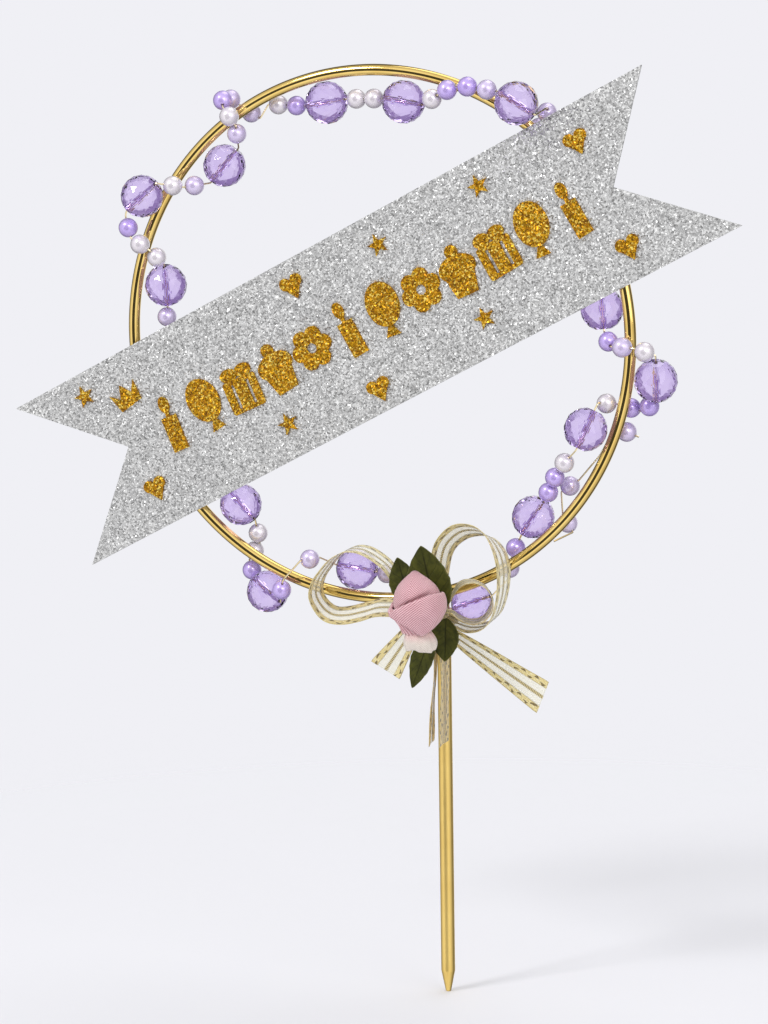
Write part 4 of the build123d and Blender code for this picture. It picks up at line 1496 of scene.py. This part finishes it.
@dataclass(frozen=True)
class Leaf:
    """One stiff satin leaf: where it starts, which way it points and how large it is."""

    name: str
    node: str
    root: tuple[float, float, float]
    angle: float
    length: float
    width: float
    curl: float
    tuck: float
    fold: float = 9.0
    belly_power: float = 0.85
    tip_power: float = 0.78
    root_share: float = 0.05
    back_bend: float = 0.15
    nick_depth: float = 0.045
    nick_rate: float = 19.0
    wave_depth: float = 0.10
    wave_rate: float = 14.0
    set_forward: float = 0.25
    thickness: float = 0.3
    rows: int = 60
    columns: int = 33

    def build(self, material: bpy.types.Material) -> None:
        """Makes the leaf, a folded blade with a pointed tip and a slightly nicked edge.

        Point (u, v) is root + L u d + v h(u) a - (|v| h sin e + c u u - k (1 - u)^8) y, with d along the
        leaf, a across it, h half its width there, e the fold at the midrib, c how far the tip curls forward
        and k how far the root is tucked back to the knot.

        Args:
            material: the leaf's cloth.
        """
        u = np.linspace(0, 1, self.rows)[:, None]
        v = np.linspace(-1, 1, self.columns)
        turn, fold = math.radians(self.angle), math.radians(self.fold)
        outline = np.sin(math.pi * u**self.belly_power) ** self.tip_power + self.root_share * (1 - u)
        half = self.width / 2 * outline
        nick = 1.0 - self.nick_depth * np.abs(np.sin(u * self.nick_rate)) * np.abs(v) ** 6
        run, reach = self.length * u, v * half * nick
        wave = self.wave_depth * np.sin(u * self.wave_rate) * v**2
        lift = np.abs(reach) * math.sin(fold) + self.curl * (u**2 - self.back_bend * u) + wave
        x = self.root[0] + math.cos(turn) * run - math.sin(turn) * reach
        y = self.root[1] - self.set_forward - lift + self.tuck * (1 - u) ** 8
        z = self.root[2] + math.sin(turn) * run + math.cos(turn) * reach
        piece = make_cloth(self.name, on_grid(x, y, z), stacked(v, u), self.thickness)
        dress(piece, material, "leaf_fabric", [self.node])


LEAVES = (
    Leaf("top_green_leaf", "top_leaf", (3.4, -14.95, 104.5), 101.9, 19.8, 13.0, 1.0, 2.3),
    Leaf("left_green_leaf", "left_leaf", (-5.0, -12.95, 107.0), 105.0, 13.4, 8.6, 0.6, 0.7),
    Leaf("right_green_leaf", "right_leaf", (5.2, -12.95, 103.5), -91.0, 11.8, 8.2, 0.5, 0.7),
    Leaf("lower_green_leaf", "lower_leaf", (1.6, -14.95, 99.6), -109.5, 16.3, 6.4, 0.8, 2.2),
)


@dataclass(frozen=True)
class Petal:
    """One petal of the bud.

    Attributes:
        name: the piece's name.
        node: the CAD node that it replaces.
        gap: how far it stands off the core.
        turns: degrees round the bud at each station, from its first edge to its last.
        rim: the rim's height above the bud's base at each station.
        hem: the hem's height there.
        stand: how much further off the hem stands at the first edge.
        folds: how deep its slanted folds are.
        hook: how far its left corner hooks out.
    """

    name: str
    node: str
    gap: float
    turns: tuple[float, ...]
    rim: tuple[float, ...]
    hem: tuple[float, ...]
    stand: float
    folds: float
    hook: float


INNER_PETAL = Petal(
    "inner_bud_petal",
    "inner_petal",
    gap=0.75,
    turns=(128.0, 180.0, 227.0, 262.0, 300.0),
    rim=(9.5, 8.4, 6.9, 6.6, 6.0),
    hem=(0.2, 0.2, 0.2, 0.2, 0.2),
    stand=1.5,
    folds=0.22,
    hook=1.3,
)
OUTER_PETAL = Petal(
    "outer_bud_petal",
    "outer_petal",
    gap=1.85,
    turns=(-136.0, -94.0, -63.0, -30.0, 20.0, 46.0),
    rim=(6.6, 9.3, 11.0, 11.8, 11.4, 10.8),
    hem=(6.2, 2.6, 0.35, 1.6, 4.6, 6.0),
    stand=1.0,
    folds=0.0,
    hook=0.0,
)


@dataclass
class Rosebud:
    """The ribbon rosebud: a folded core, two wrapped petals and a gathered foot."""

    height: float = 17.5
    lean: float = 0.9
    axis_shift: tuple[float, float] = (0.5, 1.0)
    core_folds: int = 3
    core_waist: float = 0.02
    core_lift: float = 0.05
    core_rise: float = 0.994
    core_fold_depth: float = 0.045
    core_twist: float = 2.2
    groove_depth: float = 1.1
    groove_half: float = 0.9
    groove_fades: tuple[float, float] = (10.0, 36.0)
    groove_end: float = -12.0
    groove_drop: float = 0.2
    shares: tuple[float, ...] = (0.0, 0.10, 0.24, 0.38, 0.52, 0.63, 0.74, 0.82, 0.90, 0.96, 1.0)
    radii: tuple[float, ...] = (2.7, 3.7, 5.3, 6.5, 6.7, 6.4, 5.6, 4.5, 2.9, 1.5, 0.45)
    profile_steps: int = 401
    profile_window: int = 49
    profile_bulge: float = 0.15
    rows: int = 96
    columns: int = 120
    core_round: float = 6.0
    seam_turn: float = 90.0
    petal_round: float = 7.5
    petal_arc: float = 7.6
    petal_start: float = 8.4
    petal_degree: float = 0.13
    petal_least: float = 0.3
    petal_taper: float = 0.45
    petal_lift: float = 0.1
    gap_hem: float = 0.72
    gap_swell: float = 0.28
    gap_turn: float = 0.75
    hem_ripple: float = 0.10
    hem_ripples: int = 5
    fold_pitch: float = 1.6
    fold_slant: float = 0.08
    hook_place: tuple[float, float] = (203.0, 5.6)
    hook_size: tuple[float, float] = (12.0, 1.5)
    rim_tuck: float = 0.30
    rim_share: float = 0.07
    petal_rows: int = 48
    petal_columns: int = 90
    petal_thickness: float = 0.35
    tucked_hem: float = 1.0
    foot_height: float = 4.6
    foot_neck: float = 3.0
    foot_swell: float = 1.5
    foot_curve: tuple[float, float, float] = (0.12, 0.62, 1.2)
    foot_folds: tuple[int, int] = (9, 14)
    foot_fold_depth: float = 0.045
    foot_fold_wander: float = 1.1
    foot_fold_slant: float = 1.5
    foot_fold_shift: float = 0.6
    foot_fold_fade: float = 0.6
    foot_hem: tuple[float, float] = (0.35, 0.10)
    foot_hem_shift: float = 0.6
    foot_lap: float = 0.7
    foot_hollow: float = 1.6
    foot_drop: float = 0.3
    foot_lean: float = 0.7
    foot_round: float = 4.4
    foot_rows: int = 22
    foot_columns: int = 140

    def __post_init__(self) -> None:
        """Finds the bud's axis and base from the CAD core."""
        low, high = (np.array(corner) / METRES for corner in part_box("bud_core"))
        self.axis = (low[:2] + high[:2]) / 2 + np.array(self.axis_shift)
        self.base = float(low[2])

    def build(self) -> None:
        """Makes the bud's pieces about its axis."""
        cloth = PINK_TWILL.material()
        self.core(cloth)
        for petal in (INNER_PETAL, OUTER_PETAL):
            self.petal(petal, cloth)
        self.foot(FOOT_CLOTH.material())

    def radius(self, share: np.ndarray) -> np.ndarray:
        """The bud's radius by its share of the height, from a full belly to a closed tip.

        Straight lines between the stations are softened by a running mean.

        Args:
            share: shares of the height, from 0 to 1.

        Returns:
            The radius at each of them.
        """
        fine = np.linspace(0, 1, self.profile_steps)
        straight = np.interp(fine, self.shares, self.radii)
        padded = np.pad(straight, self.profile_window // 2, "edge")
        soft = np.convolve(padded, np.full(self.profile_window, 1 / self.profile_window), "valid")
        return np.interp(share, fine, np.minimum(soft, straight + self.profile_bulge))

    def core(self, material: bpy.types.Material) -> None:
        """The folded core.

        Point (h, a) lies r(h) (1 + k h cos 3(a + w h)) from the axis, so that three soft folds twist up to
        the tip. A groove follows the outer petal's rim, so that the rim stands clear of the core.

        Args:
            material: the bud's cloth.
        """
        h = np.linspace(0.0, 1.0, self.rows)[:, None]
        a = full_turn(self.columns)
        folds = self.core_fold_depth * h * np.cos(self.core_folds * (a + self.core_twist * h))
        radius = self.radius(h) * (1 + folds) * (1 - self.core_waist * (1 - h))
        turn = half_turns(np.degrees(a))
        rises = np.clip((turn - OUTER_PETAL.turns[0]) / self.groove_fades[0], 0, 1)
        falls = np.clip((self.groove_end - turn) / self.groove_fades[1], 0, 1)
        above = self.height * h - np.interp(turn, OUTER_PETAL.turns, OUTER_PETAL.rim) + self.groove_drop
        radius = radius - self.groove_depth * rises * falls * np.exp(-((above / self.groove_half) ** 2))
        axis_x, axis_y = self.axis
        foot, tip = self.base + self.core_lift, self.base + self.height
        x = axis_x + radius * np.cos(a) - self.lean * h**2
        y = axis_y + radius * np.sin(a)
        z = foot + self.height * self.core_rise * h
        points = stacked(x, y, z, ends=[[axis_x, axis_y, foot], [axis_x - self.lean, axis_y, tip]])
        across = np.radians(half_turns(np.degrees(a) + self.seam_turn)) * self.core_round
        chart = stacked(across, self.height * h, ends=[[0.0, 0.0], [0.0, self.height]])
        piece = make_piece("bud_heart", points, round_faces(self.rows, self.columns), chart)
        dress(piece, material, "rose_fabric", ["bud_core"])

    def petal(self, petal: Petal, material: bpy.types.Material) -> None:
        """A petal wrapped round the core, between a slanted rim and a slanted hem.

        Point (s, t) lies at the angle that t gives, at a height s of the way from hem to rim there, and at
        the core's radius plus the petal's gap. The gap stands off at the hem's start, runs in slanted folds
        along the next petal's edge, has a small hook at the left corner and tucks in at the rim.

        Args:
            petal: the petal's sizes.
            material: its cloth.
        """
        s = np.linspace(0.0, 1.0, self.petal_rows)[:, None]
        t = np.linspace(0.0, 1.0, self.petal_columns)
        stations = on_grid(np.multiply(petal.turns, self.petal_degree), petal.rim, petal.hem)
        swept, rim, hem = smooth_path(stations, self.petal_columns).T
        degrees = swept / self.petal_degree
        angle = np.radians(degrees)
        hem = np.minimum(hem, rim - self.petal_least)
        rise = hem + (rim - hem) * s
        swell = self.gap_hem + self.gap_swell * np.sin(s * math.pi * self.gap_turn)
        gap = petal.gap * (1 - self.petal_taper * t) * swell
        gap = gap + petal.stand * (1 - s) ** 2 * (1 - t)
        gap = gap + petal.folds * np.sin(math.tau * (rise + self.fold_slant * degrees) / self.fold_pitch)
        aside = (degrees - self.hook_place[0]) / self.hook_size[0]
        above = (rise - self.hook_place[1]) / self.hook_size[1]
        gap = gap + petal.hook * np.exp(-(aside**2) - above**2)
        ripple = self.hem_ripple * np.sin(self.hem_ripples * math.pi * t) * (1 - s)
        radius = self.radius(rise / self.height) + gap + ripple
        radius = radius - self.rim_tuck * np.clip((s - 1 + self.rim_share) / self.rim_share, 0, 1) ** 2
        x = self.axis[0] + radius * np.cos(angle) - self.lean * (rise / self.height) ** 2
        y = self.axis[1] + radius * np.sin(angle)
        surface = on_grid(x, y, self.base + self.petal_lift + rise)
        chart = stacked(angle * self.petal_round + self.petal_start, rise)
        piece = make_cloth(petal.name, surface, chart, self.petal_thickness)
        dress(piece, material, "rose_fabric", [petal.node])
        span = float(angle.max() - angle.min()) * self.petal_arc
        tall = float(rim.max() - hem.min()) + self.tucked_hem
        steps = np.diff(surface, axis=0)[:, :-1], np.diff(surface, axis=1)[:-1]
        area = flat_area(float(np.linalg.norm(np.cross(*steps), axis=-1).sum()), span, tall)
        area * METRES**2

    def foot(self, material: bpy.types.Material) -> None:
        """The gathered foot under the bud, a short cone whose wall runs in small pleats.

        Point (h, a) has radius r(h) (1 + p f(a)), with f two waves of folds and p deeper towards the hem,
        which itself rises and falls.

        Args:
            material: the foot's cloth.
        """
        h = np.linspace(0.0, 1.0, self.foot_rows)[:, None]
        a = full_turn(self.foot_columns)
        start, sweep, power = self.foot_curve
        radius = self.foot_neck + self.foot_swell * np.sin(math.pi * (start + sweep * (1 - h))) ** power
        coarse, fine = self.foot_folds
        folds = np.cos(coarse * a + self.foot_fold_wander * np.sin(2 * a) + self.foot_fold_slant * h)
        folds = folds + 0.5 * np.cos(fine * a + self.foot_fold_shift)
        radius = radius * (1 + self.foot_fold_depth * (1 - self.foot_fold_fade * h) * folds)
        slow, quick = self.foot_hem
        hem = slow * np.sin(3 * a + self.foot_hem_shift) + quick * np.cos(7 * a)
        axis_x, axis_y = self.axis
        top, inside = self.base + self.foot_lap, self.base - self.foot_height + self.foot_hollow
        x = axis_x + radius * np.cos(a) + self.foot_lean * (1 - h)
        y = axis_y + radius * np.sin(a)
        z = top - (self.foot_height + self.foot_drop) * (1 - h) + hem * (1 - h)
        points = stacked(x, y, z, ends=[[axis_x + self.foot_lean, axis_y, inside], [axis_x, axis_y, top]])
        chart = stacked(a * self.foot_round, h * self.foot_height, ends=[[0, 0], [0, 0]])
        piece = make_piece("bud_gathers", points, round_faces(self.foot_rows, self.foot_columns), chart)
        dress(piece, material, "foot_fabric", ["bud_foot"])


# Studio


@dataclass(frozen=True)
class Softbox:
    """A square lamp that looks at the topper's middle: its place and side in metres, its power in watts."""

    name: str
    place: tuple[float, float, float]
    side: float
    power: float
    aim: tuple[float, float, float] = (-0.01, 0.0, 0.13)

    def build(self) -> bpy.types.Object:
        """Makes the lamp.

        Returns:
            The lamp.
        """
        data = bpy.data.lights.new(self.name, "AREA")
        data.size = self.side
        data.energy = self.power
        lamp = bpy.data.objects.new(self.name, data)
        turn = (Vector(self.aim) - Vector(self.place)).to_track_quat("-Z", "Y")
        lamp.matrix_world = Matrix.Translation(self.place) @ turn.to_matrix().to_4x4()
        bpy.context.scene.collection.objects.link(lamp)
        return lamp


SOFTBOXES = (
    Softbox("key_softbox", (-0.75, -1.05, 1.25), 0.36, 9.0),
    Softbox("fill_softbox", (1.25, -0.75, 0.65), 1.0, 4.0),
    Softbox("top_softbox", (0.15, 0.45, 1.45), 0.9, 5.0),
)
CATCH_LIGHT = Softbox("catch_light", (0.62, -1.0, 0.72), 0.28, 4.4)


@dataclass
class Studio:
    """The pale floor, the soft lights and the camera."""

    backdrop: Colour = (0.871, 0.871, 0.913)
    floor_height: float = -6.0
    floor_hole: float = 2.0
    floor_reach: float = 620.0
    floor_rings: int = 12
    floor_columns: int = 96
    target: tuple[float, float, float] = (-19.0, 0.0, 179.4)
    azimuth: float = 20.717
    elevation: float = 8.456
    roll: float = -0.859
    distance: float = 950.0
    shift_right: float = 1.531
    shift_up: float = -48.614
    focal_pixels: float = 3428.95
    image_height: float = 1024.0
    sensor_height: float = 36.0
    nearest: float = 20.0
    room_light: Stops = greys((0.0, 0.58), (1.0, 0.83))
    metal_light: Stops = greys(
        (0.0, 0.95),
        (0.05, 0.90),
        (0.08, 0.15),
        (0.36, 0.13),
        (0.46, 0.62),
        (0.70, 0.85),
        (0.86, 1.20),
        (0.926, 1.30),
        (0.940, 0.09),
        (1.0, 0.06),
    )
    glass_light: Stops = (
        (0.0, (0.92, 0.92, 0.92)),
        (0.08, (0.90, 0.90, 0.90)),
        (0.12, (0.38, 0.30, 0.46)),
        (0.45, (0.33, 0.25, 0.42)),
        (0.70, (0.80, 0.80, 0.80)),
        (1.0, (0.60, 0.60, 0.60)),
    )

    def build(self) -> None:
        """Makes the camera, the world, the floor and the lamps."""
        bpy.context.scene.view_settings.view_transform = "Standard"
        self.camera()
        self.world()
        self.floor()
        for softbox in SOFTBOXES:
            softbox.build()
        CATCH_LIGHT.build().light_linking.receiver_collection = catch_lit()

    def view_axes(self) -> tuple[np.ndarray, np.ndarray, np.ndarray]:
        """The camera's own directions before its roll.

        Returns:
            Right, up and back, as unit vectors.
        """
        azimuth, elevation = math.radians(self.azimuth), math.radians(self.elevation)
        level = math.cos(elevation)
        back = np.array([math.sin(azimuth) * level, -math.cos(azimuth) * level, math.sin(elevation)])
        right = np.array([math.cos(azimuth), math.sin(azimuth), 0.0])
        return right, np.cross(back, right), back

    def camera(self) -> None:
        """Stands the camera where the photograph was taken from."""
        right, up, back = self.view_axes()
        place = np.array(self.target) + right * self.shift_right + up * self.shift_up + back * self.distance
        roll = math.radians(self.roll)
        rolled_right = math.cos(roll) * right + math.sin(roll) * up
        rolled_up = math.cos(roll) * up - math.sin(roll) * right
        data = bpy.data.cameras.new("photo_camera")
        data.sensor_fit = "VERTICAL"
        data.sensor_height = self.sensor_height
        data.lens = self.focal_pixels * self.sensor_height / self.image_height
        data.clip_start = self.nearest * METRES
        camera = bpy.data.objects.new("photo_camera", data)
        turn = Matrix((rolled_right, rolled_up, back)).transposed().to_4x4()
        camera.matrix_world = Matrix.Translation(place * METRES) @ turn
        bpy.context.scene.collection.objects.link(camera)
        bpy.context.scene.camera = camera

    def world(self) -> None:
        """A pale backdrop to the eye, an even room for the light, and darker sides for metal and glass.

        Room and metal read their levels by how far a ray points to the front: 0 straight back, 1 straight
        ahead of the hoop's plane, where a dark doorway draws the line along the gold. Glass reads its
        colours by how far a ray points to the camera: 0 straight away from it, 1 straight at it.
        """
        world = bpy.data.worlds.new("studio")
        bpy.context.scene.world = world
        world.use_nodes = True
        graph = Graph(world.node_tree)
        heading = graph.node("ShaderNodeTexCoord", output="Generated")
        _, depth, _ = graph.axes(heading)
        ahead = 0.5 - depth * 0.5
        towards = graph.vector("DOT_PRODUCT", {0: heading, 1: tuple(self.view_axes()[2])}, "Value")
        colour = graph.ramp(ahead, self.room_light)
        metal = graph.ramp(ahead, self.metal_light)
        glass = graph.ramp(towards * 0.5 + 0.5, self.glass_light)
        rays = (("Is Glossy Ray", metal), ("Is Transmission Ray", glass), ("Is Camera Ray", self.backdrop))
        for kind, seen in rays:
            colour = graph.mix(graph.node("ShaderNodeLightPath", output=kind), colour, seen)
        light = graph.node("ShaderNodeBackground", None, {"Color": colour, "Strength": 1.0})
        graph.node("ShaderNodeOutputWorld", None, {"Surface": light})

    def floor(self) -> None:
        """A round pale floor that fades into the backdrop and keeps the topper's shadow."""
        radius = np.linspace(self.floor_hole, self.floor_reach, self.floor_rings)
        height = np.full(self.floor_rings, self.floor_height)
        points = rings(radius, height, full_turn(self.floor_columns))
        faces = grid_faces(self.floor_rings, self.floor_columns, True).tolist()
        middle = list(range(self.floor_columns))[::-1]
        floor = make_piece("pale_floor", points, [*faces, middle], closed=False)
        floor.data.materials.append(PALE_FLOOR.material())
        floor.visible_glossy = False


# The whole scene


def main() -> None:
    """Builds the studio and each sub-assembly in turn."""
    logging.basicConfig(level=logging.INFO, format="%(name)s: %(message)s")
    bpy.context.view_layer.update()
    Studio().build()
    Carrier().build()
    BeadString().build()
    Banner().build()
    Bow().build()
    satin = GREEN_SATIN.material()
    for leaf in LEAVES:
        leaf.build(satin)
    Rosebud().build()


if __name__ == "__main__":
    main()
